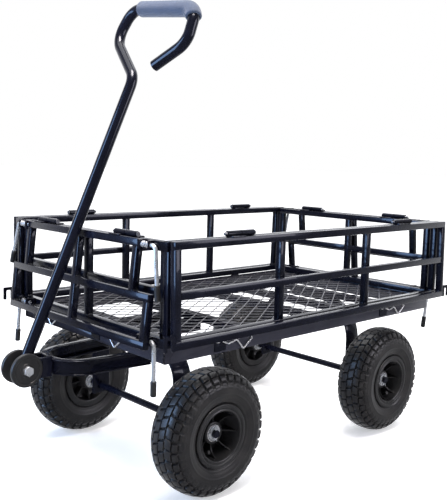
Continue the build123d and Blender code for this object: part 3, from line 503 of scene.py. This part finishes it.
def hook_shape(side):
    """Flat corner hook, open downwards, on the end of a side panel."""
    corners = [(SIDE_HALF_L, RAIL_LOW_Z), (HOOK_ROOT_X, RAIL_LOW_Z), (HOOK_ROOT_X, HOOK_THROAT_Z),
               (HOOK_TIP_X, HOOK_THROAT_Z), (HOOK_TIP_X, RAIL_LOW_Z), (HOOK_END_X, RAIL_LOW_Z),
               (HOOK_END_X, HOOK_TOP_Z), (SIDE_HALF_L, HOOK_TOP_Z)]
    built = bmesh.new()
    verts = [built.verts.new((side * x, SIDE_OUTER_Y + TUBE - HOOK_T, z)) for x, z in corners]
    face = built.faces.new(verts)
    moved = bmesh.ops.extrude_face_region(built, geom=[face])["geom"]
    moved = [part for part in moved if isinstance(part, bmesh.types.BMVert)]
    bmesh.ops.translate(built, vec=(0, HOOK_T, 0), verts=moved)
    upright = [e for e in built.edges if abs(e.verts[0].co.y - e.verts[1].co.y) > 1]
    bmesh.ops.bevel(built, geom=upright, offset=HOOK_ROUND, segments=3, profile=0.5, affect="EDGES")
    bmesh.ops.recalc_face_normals(built, faces=built.faces[:])
    shape = taken_from(built)
    # Extruding lists its faces in another order on each run, so they are put in a fixed one
    shape.faces = sorted(lowest_first(face) for face in shape.faces)
    return shape


def hang_wall(wall, inner, outer, body, lean):
    """Places a wall's fixed panel and its hanging panel, which rides on a body."""
    place = wall_place(wall)
    piece(f"{wall}_inner_wall", inner, paint, "chassis", [f"{wall}_inner_panel"], place=place)
    piece(f"{wall}_outer_wall", outer, paint, body, [f"{wall}_outer_panel"], place=place @ lean)


for wall in ("left", "right"):
    inner = plain_frame(SIDE_HALF_L, SIDE_INNER_Y, SIDE_TOP_Z, SIDE_POSTS)
    inner.join(knuckle_shape(SIDE_HINGE_U, SIDE_HINGE[0], SIDE_TOP_Z, -1))
    outer = plain_frame(SIDE_HALF_L, SIDE_OUTER_Y, SIDE_TOP_Z, ())
    outer.join(middle_rail(TUBE - SIDE_HALF_L, SIDE_HALF_L - TUBE, SIDE_OUTER_Y))
    outer.join(knuckle_shape(SIDE_HINGE_U, SIDE_HINGE[0], SIDE_TOP_Z, 1))
    outer.join(hook_shape(-1)).join(hook_shape(1))
    hang_wall(wall, inner, outer, f"{wall}_wall", swing(SIDE_HINGE, SIDE_LEAN))

for wall, body in (("front", "chassis"), ("rear", "rear_wall")):
    inner = plain_frame(END_INNER_HALF, END_INNER_X, END_TOP_Z, (0.0,))
    inner.join(middle_rail(TUBE / 2, END_INNER_HALF - TUBE, END_INNER_X))
    inner.join(middle_rail(TUBE - END_INNER_HALF, -TUBE / 2, END_INNER_X))
    inner.join(knuckle_shape(END_HINGE_U, END_HINGE[0], END_TOP_Z, -1))
    outer = stepped_frame()
    outer.join(knuckle_shape(END_HINGE_U, END_HINGE[0], END_TOP_Z, 1))
    hang_wall(wall, inner, outer, body, swing(END_HINGE, END_LEAN))


# --- Deck mesh ------------------------------------------------------------------------
DECK_Z = 326.5                    # middle of the mesh's thickness
DECK_HALF_L, DECK_HALF_W = 436.6, 259.1
LONG_WAY, SHORT_WAY = 50.0, 35.0  # diamond, from bond to bond
STRAND_SECTION = [(-1.4, -0.5), (-1.0, -0.8), (1.0, -0.8), (1.4, -0.5),
                  (1.4, 0.5), (1.0, 0.8), (-1.0, 0.8), (-1.4, 0.5)]
STRAND_TILTS = (4, 24, 34, 24, 4)  # twist along a strand, in degrees
BOND_HALF_L, BOND_HALF_W, BOND_BELOW, BOND_ABOVE = 3.6, 2.0, 0.9, 1.0


def strand(start, end, shape):
    """One twisted flat strand between two bonds of the expanded mesh."""
    start, end = Vector((*start, DECK_Z)), Vector((*end, DECK_Z))
    way = (end - start).normalized()
    across = Vector((-way.y, way.x, 0))
    if across.y < 0:
        across = -across
    up = Vector((0, 0, 1))
    points, faces = [], []
    spans, sides = len(STRAND_TILTS) - 1, len(STRAND_SECTION)
    for i, tilt in enumerate(STRAND_TILTS):
        middle = start.lerp(end, i / spans)
        side = across * cos(radians(tilt)) + up * sin(radians(tilt))
        top = up * cos(radians(tilt)) - across * sin(radians(tilt))
        points += [middle + side * a + top * b for a, b in STRAND_SECTION]
    for i in range(spans):
        here, there = i * sides, (i + 1) * sides
        for j in range(sides):
            k = (j + 1) % sides
            faces.append([here + j, here + k, there + k, there + j])
    faces += [list(range(sides))[::-1], [spans * sides + j for j in range(sides)]]
    shape.add(points, faces)


def bond(here, shape):
    """The flat knot where four strands meet."""
    low = (here.x - BOND_HALF_L, here.y - BOND_HALF_W, DECK_Z - BOND_BELOW)
    high = (here.x + BOND_HALF_L, here.y + BOND_HALF_W, DECK_Z + BOND_ABOVE)
    shape.join(rounded_box(low, high, 0.5, 1))


def deck_shape():
    """Expanded diamond mesh trimmed to the inside of the bed's skirt."""
    half_l, half_w = DECK_HALF_L, DECK_HALF_W
    step_x, step_y = LONG_WAY / 2, SHORT_WAY / 2
    last_i, last_j = ceil(half_l / step_x), ceil(half_w / step_y)
    shape = Shape()
    for i in range(-last_i, last_i + 1):
        for j in range(-last_j, last_j + 1):
            here = Vector((i * step_x, j * step_y))
            if (i + j) % 2 or abs(here.x) > half_l or abs(here.y) > half_w:
                continue
            bond(here, shape)
            for dx, dy in ((1, 1), (1, -1), (-1, 1), (-1, -1)):
                there = here + Vector((dx * step_x, dy * step_y))
                outside = abs(there.x) > half_l or abs(there.y) > half_w
                if dx < 0 and not outside:
                    continue
                if outside:
                    share_x = (half_l - abs(here.x)) / step_x if abs(there.x) > half_l else 1
                    share_y = (half_w - abs(here.y)) / step_y if abs(there.y) > half_w else 1
                    there = here.lerp(there, min(share_x, share_y))
                if (there - here).length > 3:
                    strand(here, there, shape)
    return shape


# The deck mesh wears the lighter coat with painted glints
piece("expanded_deck", deck_shape(), mesh_coat_with_painted_glints, "chassis", ["deck_mesh"], angle=50)


# --- Wheels ---------------------------------------------------------------------------
TREAD_PITCHES = 36                # blocks around the tyre
TREAD_STEPS = 16                  # mesh steps in one block's pitch
# Rows of blocks: middle and half width across the tread, share of the pitch, shift, slant, height
TREAD_ROWS = (
    (-8.2, 7.3, 0.86, 0.00, 0.10, 1.0),
    (8.2, 7.3, 0.86, 0.50, 0.10, 1.0),
    (-24.2, 7.0, 0.82, 0.30, -0.12, 1.0),
    (24.2, 7.0, 0.82, 0.80, -0.12, 1.0),
    (-39.2, 6.2, 0.70, 0.05, 0.0, 1.0),
    (39.2, 6.2, 0.70, 0.55, 0.0, 1.0),
    (-50.5, 3.0, 0.66, 0.05, 0.0, 0.75),
    (50.5, 3.0, 0.66, 0.55, 0.0, 0.75),
    (-58.6, 1.5, 0.62, 0.05, 0.0, 0.5),
    (58.6, 1.5, 0.62, 0.55, 0.0, 0.5),
)
GROOVE = 4.6                      # depth on the crown
SHOULDER_RISE = 1.1               # height of the shoulder lugs above the sidewall
CROWN_END, SHOULDER_START, TREAD_END = 44, 56, 62
# Ridges round the sidewall: height, then where each starts, tops out, falls and ends
SIDE_RIDGES = ((0.7, 70, 71.2, 72.4, 73.6), (0.9, 86, 87, 89.5, 90.5))
RIBS, RIB_TURN = 8, 0.2
VALVE_TURN = pi / RIBS + RIB_TURN  # midway between two ribs
WHEEL_SPIN, SIDE_SPIN = {"front": 0.1, "rear": 0.9}, 0.4   # where each wheel stands at rest


def soft_step(value, low, high):
    """0 below low and 1 above high, with a smooth rise between them."""
    share = min(max((value - low) / (high - low), 0), 1)
    return share * share * (3 - 2 * share)


def tread_height(across, turn):
    """0 at the bottom of a groove and 1 on top of a block."""
    height = 0.0
    pitch = 2 * pi * WHEEL_R / TREAD_PITCHES
    for middle, half, share, shift, slant, top in TREAD_ROWS:
        offset = across - middle
        inside = 1 - soft_step(abs(offset), half - 0.5, half + 0.9)
        if inside <= 0:
            continue
        phase = (turn * TREAD_PITCHES + shift + slant * offset / 8) % 1.0
        edge = abs(phase - 0.5) * pitch - share * pitch / 2
        height = max(height, top * inside * (1 - soft_step(edge, -0.7, 0.9)))
    return height


def arc_points(start, middle, end, count):
    """Points on the circle through three points of a section."""
    ax, ay = start
    bx, by = middle
    cx, cy = end
    a, b, c = ax * ax + ay * ay, bx * bx + by * by, cx * cx + cy * cy
    d = 2 * (ax * (by - cy) + bx * (cy - ay) + cx * (ay - by))
    ux = (a * (by - cy) + b * (cy - ay) + c * (ay - by)) / d
    uy = (a * (cx - bx) + b * (ax - cx) + c * (bx - ax)) / d
    first, last = atan2(ay - uy, ax - ux), atan2(cy - uy, cx - ux)
    radius = hypot(ax - ux, ay - uy)
    if last - first > pi:
        last -= 2 * pi
    if first - last > pi:
        last += 2 * pi
    angles = [first + (last - first) * i / count for i in range(count + 1)]
    return [(ux + radius * cos(angle), uy + radius * sin(angle)) for angle in angles]


def tyre_section():
    """(radius, width) points from the inner bead over the crown to the outer bead."""
    half = arc_points((130.0, 0.0), (129.3, 11.5), (127.0, 22.0), 14)
    half += arc_points((127.0, 22.0), (123.5, 29.2), (117.5, 35.6), 12)[1:]
    half += arc_points((117.5, 35.6), (95.0, 42.5), (66.0, 35.7), 34)[1:]
    other = [(r, -z) for r, z in half[1:]]
    return other[::-1] + half


def surface_offset(across, turn):
    """How far the tyre's surface stands outside its plain section."""
    reach = abs(across)
    offset = 0.0
    for height, start, top, fall, end in SIDE_RIDGES:
        offset += height * (soft_step(reach, start, top) - soft_step(reach, fall, end))
    if reach < TREAD_END:
        ramp = 1 - soft_step(reach, CROWN_END, SHOULDER_START)
        block = tread_height(across, turn)
        offset -= GROOVE * ramp * (1 - block) - SHOULDER_RISE * block * (1 - ramp)
    return offset


def tyre_shape():
    """Treaded tyre with its beads."""
    section = tyre_section()
    middle = len(section) // 2
    lengths = [0.0] * len(section)
    for i in range(middle + 1, len(section)):
        step = hypot(section[i][0] - section[i - 1][0], section[i][1] - section[i - 1][1])
        lengths[i] = lengths[i - 1] + step
        lengths[2 * middle - i] = -lengths[i]
    rows, normals = np.array(section), []
    for i in range(len(section)):
        a, b = rows[max(i - 1, 0)], rows[min(i + 1, len(section) - 1)]
        along = (b - a) / np.linalg.norm(b - a)
        normals.append((along[1], -along[0]))
    steps = TREAD_PITCHES * TREAD_STEPS
    points, faces = [], []
    for turn in range(steps):
        share = turn / steps
        angle = 2 * pi * share
        for (r, z), across, (nr, nz) in zip(section, lengths, normals):
            out = surface_offset(across, share)
            points.append(((r + nr * out) * cos(angle), (r + nr * out) * sin(angle), z + nz * out))
    count = len(section)
    for turn in range(steps):
        here, there = turn * count, (turn + 1) % steps * count
        for i in range(count - 1):
            faces.append([here + i, there + i, there + i + 1, here + i + 1])
    shape = Shape().add(points, faces)
    bead = [(66.0, 35.7), (60.0, 35.2), (54.4, 33.0), (54.4, -33.0), (60.0, -35.2), (66.0, -35.7)]
    return shape.join(lathe(bead, 96))


def rim_rib(base, crest):
    """A thin rib between a straight foot and its crest, both as (radius, height) points."""
    count = len(crest)
    points, faces = [], []
    for side in (-1, 1):
        points += [(r, side * 1.4, z) for r, z in base]
        points += [(r, side * 0.9, z) for r, z in crest]
    for i in range(count - 1):
        foot, top, other = i, count + i, 2 * count
        faces.append([foot, foot + 1, top + 1, top])
        faces.append([other + foot, other + top, other + top + 1, other + foot + 1])
        faces.append([top, top + 1, other + top + 1, other + top])
        faces.append([foot, other + foot, other + foot + 1, foot + 1])
    return points, faces


def rim_shape():
    """Moulded rim: rolled lips, a deep dished face and a hub recessed on the outside."""
    outline = [
        (53.5, 34.5), (53.5, 36.0), (57.0, 36.4), (63.0, 36.6), (64.6, 37.4), (65.0, 38.6), (64.4, 39.7),
        (63.0, 40.2), (58.5, 40.4), (57.4, 39.9), (56.6, 38.6), (54.8, 38.2), (53.4, 39.2), (51.8, 39.4),
        (50.6, 38.6), (50.0, 36.0), (49.2, 12.0), (48.6, -4.0), (47.4, -6.8), (45.4, -7.6),
        (25.4, -7.6), (23.9, -6.6), (23.2, -4.0), (22.7, 13.6), (22.0, 15.3), (20.6, 16.0), (17.6, 16.0),
        (17.6, 4.6), (10.2, 4.6), (10.2, -36.5), (17.6, -36.5), (17.6, -47.0), (19.8, -47.0),
        (20.9, -46.6), (21.6, -45.4), (23.2, -16.0), (24.4, -12.9), (45.4, -12.5), (48.2, -13.9),
        (49.4, -18.0), (50.0, -36.0), (50.6, -38.8), (52.0, -39.8), (54.0, -40.0), (63.0, -40.0),
        (64.6, -39.4), (65.0, -38.2), (64.4, -37.0), (63.0, -36.6), (54.6, -36.2), (53.5, -35.0),
    ]
    shape = lathe(outline, 96, closed=True)
    radii = (21.5, 27.0, 36.0, 44.0, 50.0)
    outer = rim_rib([(r, -8.5) for r in radii], list(zip(radii, (11.0, 10.0, 13.0, 20.0, 30.5))))
    inner = rim_rib([(r, -29.0) for r in radii], [(r, -11.5) for r in radii])
    for turn in range(RIBS):
        place = Matrix.Rotation(2 * pi * turn / RIBS + RIB_TURN, 4, "Z")
        shape.add(*outer, place)
        shape.add(*inner, place)
    return shape


def bearing_shape():
    """Sealed ball bearings: outer race, recessed shield and inner race, one at each end."""
    outline = [(17.4, 0.2), (17.4, 10.2), (16.9, 10.8), (14.9, 10.8), (14.5, 9.9), (11.9, 9.9),
               (11.5, 10.8), (8.6, 10.8), (AXLE_GAP_R, 10.4), (AXLE_GAP_R, 0.2)]
    shape = lathe([(r, 5 + z) for r, z in outline], 64, closed=True)
    return shape.join(lathe([(r, -36 - z) for r, z in outline], 64, closed=True))


def tube_shape():
    """The inner tube and its valve stem, which shows through the rim."""
    ring = [(86.5 + 31 * cos(2 * pi * i / 24), 26 * sin(2 * pi * i / 24)) for i in range(24)]
    shape = lathe(ring, 64, closed=True)
    stem = [Vector(spot) for spot in ((56.0, 0, 8.0), (49.5, 0, 8.6), (43.0, 0, 12.0), (38.0, 0, 22.0))]
    path, sizes = dome_ends(stem, 2.9, 1.2)
    sizes = [3.9 if (p - stem[-1]).length < 9 else s for p, s in zip(path, sizes)]
    return shape.join(swept(path, sizes, 16), Matrix.Rotation(VALVE_TURN, 4, "Z"))


def shared(name, shape, made, angle):
    """A mesh that all four wheels use, drawn about the wheel's own middle."""
    mesh = bpy.data.meshes.new(name)
    mesh.from_pydata([Vector(p) * 0.001 for p in shape.points], [], shape.faces)
    mesh.update()
    finish_mesh(mesh, made, angle)
    return mesh


wheel_meshes = {
    "tyre": (shared("treaded_tyre", tyre_shape(), rubber, 60), "tyre_rubber"),
    "rim": (shared("ribbed_rim", rim_shape(), plastic, 35), "rim_plastic"),
    "bearings": (shared("hub_bearings", bearing_shape(), bearing, 35), "bearing_steel"),
    "inner_tube": (shared("inner_tube_and_valve", tube_shape(), tube_rubber, 45), "tube_rubber"),
}
for end in ("front", "rear"):
    for side in ("left", "right"):
        sign = SIGN[side]
        spot = TO_ROW @ Vector((AXLE_X[end], sign * WHEEL_Y, WHEEL_R))
        spin = WHEEL_SPIN[end] + sign * SIDE_SPIN
        place = Matrix.Translation(spot) @ Matrix.Rotation(-sign * pi / 2, 4, "X")
        place = place @ Matrix.Rotation(spin, 4, "Z")
        for kind, (mesh, slot_name) in wheel_meshes.items():
            thing = bpy.data.objects.new(f"{end}_{side}_{kind}_shape", mesh)
            bpy.context.scene.collection.objects.link(thing)
            thing.matrix_world = place
            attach(thing, f"{end}_{side}_wheel")
            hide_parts(f"{end}_{side}_{kind}")


# Sections of the rings on an axle: radius and distance from the middle of the cart
WASHER = [(AXLE_GAP_R, 252.3), (13.6, 252.3), (14.0, 252.7), (14.0, 253.9), (13.6, 254.3),
          (AXLE_GAP_R, 254.3)]
COLLAR = [(AXLE_GAP_R, 181.1), (12.4, 181.1), (13.0, 181.7), (13.0, 188.1), (12.4, 188.7),
          (AXLE_GAP_R, 188.7)]
PIN_Y, PIN_WIRE_R = 258.0, 1.05
PIN_EYE_R, PIN_EYE_Z = 3.6, 13.0
PIN_EYE_TURNS = (0.9, 1.8, 2.7, 3.6, 4.5, 5.4, 6.1)
# Split pin's wire about the axle's middle: sideways, along the axle, up
PIN_EYE = [(0, PIN_Y, PIN_EYE_Z - PIN_EYE_R)] + [
    (PIN_EYE_R * sin(t), PIN_Y, PIN_EYE_Z - PIN_EYE_R * cos(t)) for t in PIN_EYE_TURNS]
PIN_NEAR_LEG = [(0.7, PIN_Y, 9.4), (0.7, PIN_Y, -9.0), (2.0, 259.0, -11.0), (6.5, 259.6, -11.6),
                (9.5, 259.2, -7.6)]
PIN_FAR_LEG = [(-0.7, PIN_Y, 9.4), (-0.7, PIN_Y, -9.0), (-1.4, 258.4, -11.0), (-2.6, 258.6, -15.4)]


def retainer_shape(x):
    """Washers, inner collars and split pins on both ends of an axle."""
    shape = Shape()
    for side in (-1, 1):
        flip = Matrix.Translation((x, 0, WHEEL_R)) @ Matrix.Diagonal((1, side, 1, 1))
        flip = flip @ Matrix.Rotation(-pi / 2, 4, "X")
        shape.join(lathe(WASHER, 48, flip, closed=True))
        shape.join(lathe(COLLAR, 48, flip, closed=True))
        for line in (PIN_EYE, PIN_NEAR_LEG, PIN_FAR_LEG):
            points = [Vector((x + a, side * b, WHEEL_R + c)) for a, b, c in line]
            shape.join(swept(points, PIN_WIRE_R, 10))
    return shape


for end, body in (("front", "steering"), ("rear", "chassis")):
    piece(f"{end}_axle_fixings", retainer_shape(AXLE_X[end]), zinc, body,
          [f"{end}_axle_retainers"])


# --- Handle ---------------------------------------------------------------------------
HANDLE_LEAN, HANDLE_PLAY = radians(22.0), radians(3.8)
HANDLE_R, HANDLE_BORE_R = 11.5, 9.5
# Corners of the handle's centre line: (sideways, distance along the shaft from the pivot)
HANDLE_CORNERS = ((0, 14), (0, 624), (-112.5, 711), (-95, 784), (119, 772), (128.5, 699), (54.5, 650))
HANDLE_BENDS = (42, 51, 34, 36, 38)  # bend radius at each corner between the ends
HANDLE_STEP = 3.0                 # length of a mesh step along a bend
GRIP_R, GRIP_BORE_R, GRIP_ROUND = 16.5, 11.7, 3.0
GRIP_START = (-64, 782.25)
GRIP_CORNER = 4                   # the corner that the grip runs around
GRIP_SHORT = 5                    # points left off its path, so that it ends within the bend

tip = Matrix.Rotation(-HANDLE_PLAY, 3, "X")
HANDLE_SIDE = tip @ Vector((0, 1, 0))
HANDLE_UP = tip @ Vector((-sin(HANDLE_LEAN), 0, cos(HANDLE_LEAN)))


def on_handle(side, along):
    """A point of the handle's own plane."""
    return PIVOT + HANDLE_SIDE * side + HANDLE_UP * along


corners = [on_handle(*corner) for corner in HANDLE_CORNERS]
handle_line = rounded_path(corners, HANDLE_BENDS, HANDLE_STEP)
handle = swept(handle_line, HANDLE_R, 32, caps=False)
mouth = handle_line[-1]
inward = (handle_line[-2] - mouth).normalized()
lip = [mouth + inward * depth for depth in (0, 0, 0.8, 24, 24)]
lip_sizes = [HANDLE_R, HANDLE_BORE_R + 0.5, HANDLE_BORE_R, HANDLE_BORE_R, 0.2]
handle.join(swept(lip, lip_sizes, 32, caps=False))
piece("loop_handle", handle, paint, "handle", ["handle_tube"])

grip_start, grip_corner = on_handle(*GRIP_START), corners[GRIP_CORNER]
grip_bend = HANDLE_BENDS[GRIP_CORNER - 1]
grip_way = (corners[GRIP_CORNER + 1] - grip_corner).normalized()
grip_turn = grip_way.angle(grip_corner - grip_start)
grip_end = grip_corner + grip_way * (grip_bend * tan(grip_turn / 2) + 1)
grip_line = rounded_path([grip_start, grip_corner, grip_end], (grip_bend,), HANDLE_STEP)[:-GRIP_SHORT]
grip_path, grip_sizes = dome_ends(grip_line, GRIP_R, GRIP_ROUND)
grip = swept(grip_path, grip_sizes, 40, caps=False)
for near, far in ((grip_line[0], grip_line[1]), (grip_line[-1], grip_line[-2])):
    way = (far - near).normalized()
    mouth_sizes = [GRIP_R - GRIP_ROUND - 0.5, GRIP_BORE_R + 0.2, GRIP_BORE_R]
    grip.join(swept([near, near + way * 0.01, near + way * 6], mouth_sizes, 40, caps=False))
grip_piece = piece("foam_grip", grip, grip_foam, "handle", ["handle_grip"], angle=70)

ACROSS = Matrix.Rotation(-pi / 2, 4, "X")
AT_PIVOT = Matrix.Translation(PIVOT) @ ACROSS
# Sections of the bush and of one clevis disc: radius and distance along the pivot
BUSH = [(6.2, -13.9), (13.2, -13.9), (13.9, -13.1), (13.9, 13.1), (13.2, 13.9), (6.2, 13.9)]
DISC = [(6.1, 14.6), (31.0, 14.6), (32.8, 15.2), (33.5, 16.7), (33.5, 21.4), (32.8, 22.9), (31.2, 23.5),
        (27.6, 23.5), (26.8, 22.9), (26.4, 22.3), (14.6, 22.3), (14.0, 22.8), (13.4, 23.4), (6.1, 23.4)]
bush = lathe(BUSH, 48, AT_PIVOT, closed=True)
piece("pivot_bush", bush, paint, "handle", ["handle_bush"])
discs = Shape()
for sign in (-1, 1):
    discs.join(lathe([(r, sign * z) for r, z in DISC], 72, AT_PIVOT, closed=True))
piece("clevis_cheeks", discs, plastic, "steering", ["clevis_discs"])


# --- Latches --------------------------------------------------------------------------
LATCH_X = 459.0
LATCH_LEVELS = (("top", 516.5), ("bottom", 338.5))
LATCH_TIP_Y, LATCH_BEND_Y, LATCH_BEND_R = 205.0, 253.0, 10
LATCH_R, LATCH_DROP = 4.0, 97
SLEEVE_R, SLEEVE_START, SLEEVE_STEP, SLEEVE_STEPS = 5.8, 71, 3, 11
SLEEVE_RINGS = (74.0, 76.5)
LATCH_COLLAR = [(LATCH_R, 216.1), (5.4, 216.1), (5.8, 216.5), (5.8, 217.5), (5.4, 217.9),
                (LATCH_R, 217.9)]
SPRING_IN_Y, SPRING_OUT_Y = 218.0, 238.5
SPRING_TURNS, SPRING_R, SPRING_WIRE_R = 5.2, 5.3, 0.55
# Outward lean of each corner's levers, in degrees: top latch, bottom latch
LATCH_LEANS = {("front", "left"): (5, 0), ("front", "right"): (20, 7),
               ("rear", "left"): (5, -5), ("rear", "right"): (10, 0)}


def spring_shape(z):
    """The latch's coil spring at rest, between its collar and the outer ear."""
    count = int(SPRING_TURNS * 20)
    low, high = SPRING_IN_Y + SPRING_WIRE_R, SPRING_OUT_Y - SPRING_WIRE_R
    points = []
    for i in range(count + 1):
        share = i / count
        angle = 2 * pi * SPRING_TURNS * share
        eased = share * share * (3 - 2 * share) * 0.25 + share * 0.75
        along = low + (high - low) * eased
        points.append(Vector((LATCH_X + SPRING_R * cos(angle), along, z + SPRING_R * sin(angle))))
    return swept(points, SPRING_WIRE_R, 8)


def latch_shapes(z, lean):
    """The bent bolt with its collar, and the soft sleeve on its lever."""
    down = Vector((0, sin(radians(lean)), -cos(radians(lean))))
    corner = Vector((LATCH_X, LATCH_BEND_Y, z))
    bolt = [(LATCH_X, LATCH_TIP_Y, z), corner, corner + down * LATCH_DROP]
    path, sizes = dome_ends(rounded_path(bolt, (LATCH_BEND_R,), 2.0), LATCH_R, 0.8)
    rod = swept(path, sizes, 24)
    rod.join(lathe(LATCH_COLLAR, 32, Matrix.Translation((LATCH_X, 0, z)) @ ACROSS, closed=True))
    line = [corner + down * (SLEEVE_START + SLEEVE_STEP * i) for i in range(SLEEVE_STEPS)]
    path, sizes = dome_ends(line, SLEEVE_R, 2.6)
    sleeve = swept(path, sizes, 28)
    for drop in SLEEVE_RINGS:
        centre = corner + down * drop
        ring = [SLEEVE_R - 0.1, SLEEVE_R + 0.3, SLEEVE_R - 0.1]
        sleeve.join(swept([centre - down, centre, centre + down], ring, 28, caps=False))
    return rod, sleeve


for (end, side), leans in LATCH_LEANS.items():
    for (level, z), lean in zip(LATCH_LEVELS, leans):
        node = f"latch_{end}_{side}_{level}"
        body = f"{end}_{side}_{level}_bolt"
        flip = TO_ROW @ Matrix.Diagonal((SIGN[end], SIGN[side], 1, 1))
        rod, sleeve = latch_shapes(z, lean)
        piece(f"{node}_rod", rod, zinc, body, [node], place=flip)
        piece(f"{node}_tip", sleeve, vinyl, body, place=flip)
        coil = piece(f"{node}_spring", spring_shape(z), wire, "chassis", place=flip)
        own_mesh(coil)
        if (end, side, level) == ("front", "left", "top"):
            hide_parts("latch_springs")


# --- Pieces that keep the CAD shape, with rounded edges ---------------------------------
for node in ("rear_axle_bracket", "front_axle_bracket", "upper_turntable_disc", "lower_turntable_disc",
             "bolster", "yoke_strap", "yoke_flanges", "clevis_bracket"):
    dressed(node, paint, 0.9, 2)
# The skirt gets the lighter coat, which carries painted light
dressed("bed_frame", skirt_coat_with_painted_light, 0.8, 2)
dressed("deck_cross_members", paint, 0.35)
dressed("panel_tabs", paint, 0.4)
dressed("latch_brackets", paint, 0.5)
for node in ("mount_bolts", "pivot_bolt", "king_pin"):
    dressed(node, zinc, 0.3)
dressed("hinge_pins", dull_zinc, 0.3)
for node in ("front_axle", "rear_axle"):
    repaint(node, paint)
repaint("turntable_washer", nylon)
repaint("panel_wire_clips", wire)


# --- Floor, light and camera ------------------------------------------------------------
# Everything below is in metres, in the row's own frame
FLOOR_HALF = 30
CAMERA_PLACE = (1.19549, 1.2876, 0.67728)
CAMERA_AZIMUTH, CAMERA_ELEVATION, CAMERA_ROLL = radians(136.782), radians(7.197), radians(1.503)
CAMERA_LENS = 52.98
GLOW_WAY = (-0.69, -0.72, 0)      # towards the brightest of the walls

floor_mesh = bpy.data.meshes.new("floor")
floor_corners = [(x * FLOOR_HALF, y * FLOOR_HALF, 0) for x, y in ((-1, -1), (1, -1), (1, 1), (-1, 1))]
floor_mesh.from_pydata(floor_corners, [], [[0, 1, 2, 3]])
floor_paint = material("floor_paint", (0.86, 0.86, 0.86), Roughness=0.9,
                       Emission_Color=(1.0, 1.0, 1.0, 1.0), Emission_Strength=0.45)
soft = texture(floor_paint, "ShaderNodeTexNoise", 0.8, Detail=2.0)
vary(floor_paint, "Base Color", soft.outputs["Fac"], (0.84, 0.84, 0.845), (0.88, 0.88, 0.88))
floor_mesh.materials.append(floor_paint)
floor = bpy.data.objects.new("floor", floor_mesh)
bpy.context.scene.collection.objects.link(floor)
floor.visible_glossy = False

# The camera sees a white backdrop. The cart sees dim walls with a glow on one side.
world = bpy.data.worlds.new("studio")
world.use_nodes = True
tree = world.node_tree
walls = tree.nodes["Background"]
walls.inputs["Color"].default_value = (0.95, 0.96, 1.0, 1)
aim = add_node(tree, "ShaderNodeTexCoord")
along = add_node(tree, "ShaderNodeVectorMath", operation="DOT_PRODUCT")
along.inputs[1].default_value = GLOW_WAY
glow = add_node(tree, "ShaderNodeMapRange", interpolation_type="SMOOTHSTEP",
                **{"From Min": 0.1, "From Max": 0.9, "To Min": 0.2, "To Max": 1.3})
backdrop = add_node(tree, "ShaderNodeBackground", Color=(1, 1, 1, 1), Strength=1.0)
ray = add_node(tree, "ShaderNodeLightPath")
blend = add_node(tree, "ShaderNodeMixShader")
tree.links.new(aim.outputs["Generated"], along.inputs[0])
tree.links.new(along.outputs["Value"], glow.inputs["Value"])
tree.links.new(glow.outputs["Result"], walls.inputs["Strength"])
tree.links.new(ray.outputs["Is Camera Ray"], blend.inputs["Fac"])
tree.links.new(walls.outputs["Background"], blend.inputs[1])
tree.links.new(backdrop.outputs["Background"], blend.inputs[2])
tree.links.new(blend.outputs["Shader"], tree.nodes["World Output"].inputs["Surface"])
bpy.context.scene.world = world


def soft_box(name, place, target, size, power, colour):
    """A large rectangular studio light aimed at a point."""
    data = bpy.data.lights.new(name, "AREA")
    data.shape, data.size, data.size_y = "RECTANGLE", size[0], size[1]
    data.energy, data.color = power, colour
    light = bpy.data.objects.new(name, data)
    bpy.context.scene.collection.objects.link(light)
    light.location = place
    light.rotation_euler = (Vector(target) - Vector(place)).to_track_quat("-Z", "Y").to_euler()


ceiling_data = bpy.data.lights.new("ceiling", "SUN")
ceiling_data.energy, ceiling_data.angle = 2.2, radians(70)
ceiling = bpy.data.objects.new("ceiling", ceiling_data)
bpy.context.scene.collection.objects.link(ceiling)
ceiling.rotation_euler = (radians(8), radians(-6), 0)
soft_box("overhead", (0.45, 0.5, 3.0), (0, 0, 0.3), (1.0, 1.0), 100, (1.0, 0.92, 0.89))
soft_box("cool_left", (2.9, -0.9, 1.3), (0, 0, 0.5), (1.1, 2.4), 90, (0.38, 0.6, 1.0))
soft_box("fill_right", (-1.4, 2.8, 1.5), (0, 0, 0.3), (1.4, 1.8), 36, (0.93, 0.9, 1.0))

back = Vector((sin(CAMERA_AZIMUTH) * cos(CAMERA_ELEVATION), -cos(CAMERA_AZIMUTH) * cos(CAMERA_ELEVATION),
               sin(CAMERA_ELEVATION)))
right = Vector((cos(CAMERA_AZIMUTH), sin(CAMERA_AZIMUTH), 0))
up = back.cross(right)
rolled_right = right * cos(CAMERA_ROLL) + up * sin(CAMERA_ROLL)
rolled_up = up * cos(CAMERA_ROLL) - right * sin(CAMERA_ROLL)
camera_data = bpy.data.cameras.new("camera")
camera_data.lens = CAMERA_LENS
camera = bpy.data.objects.new("camera", camera_data)
bpy.context.scene.collection.objects.link(camera)
turned = Matrix((rolled_right, rolled_up, back)).transposed().to_4x4()
camera.matrix_world = Matrix.Translation(CAMERA_PLACE) @ turned
bpy.context.scene.camera = camera
bpy.context.scene.view_settings.view_transform = "Standard"
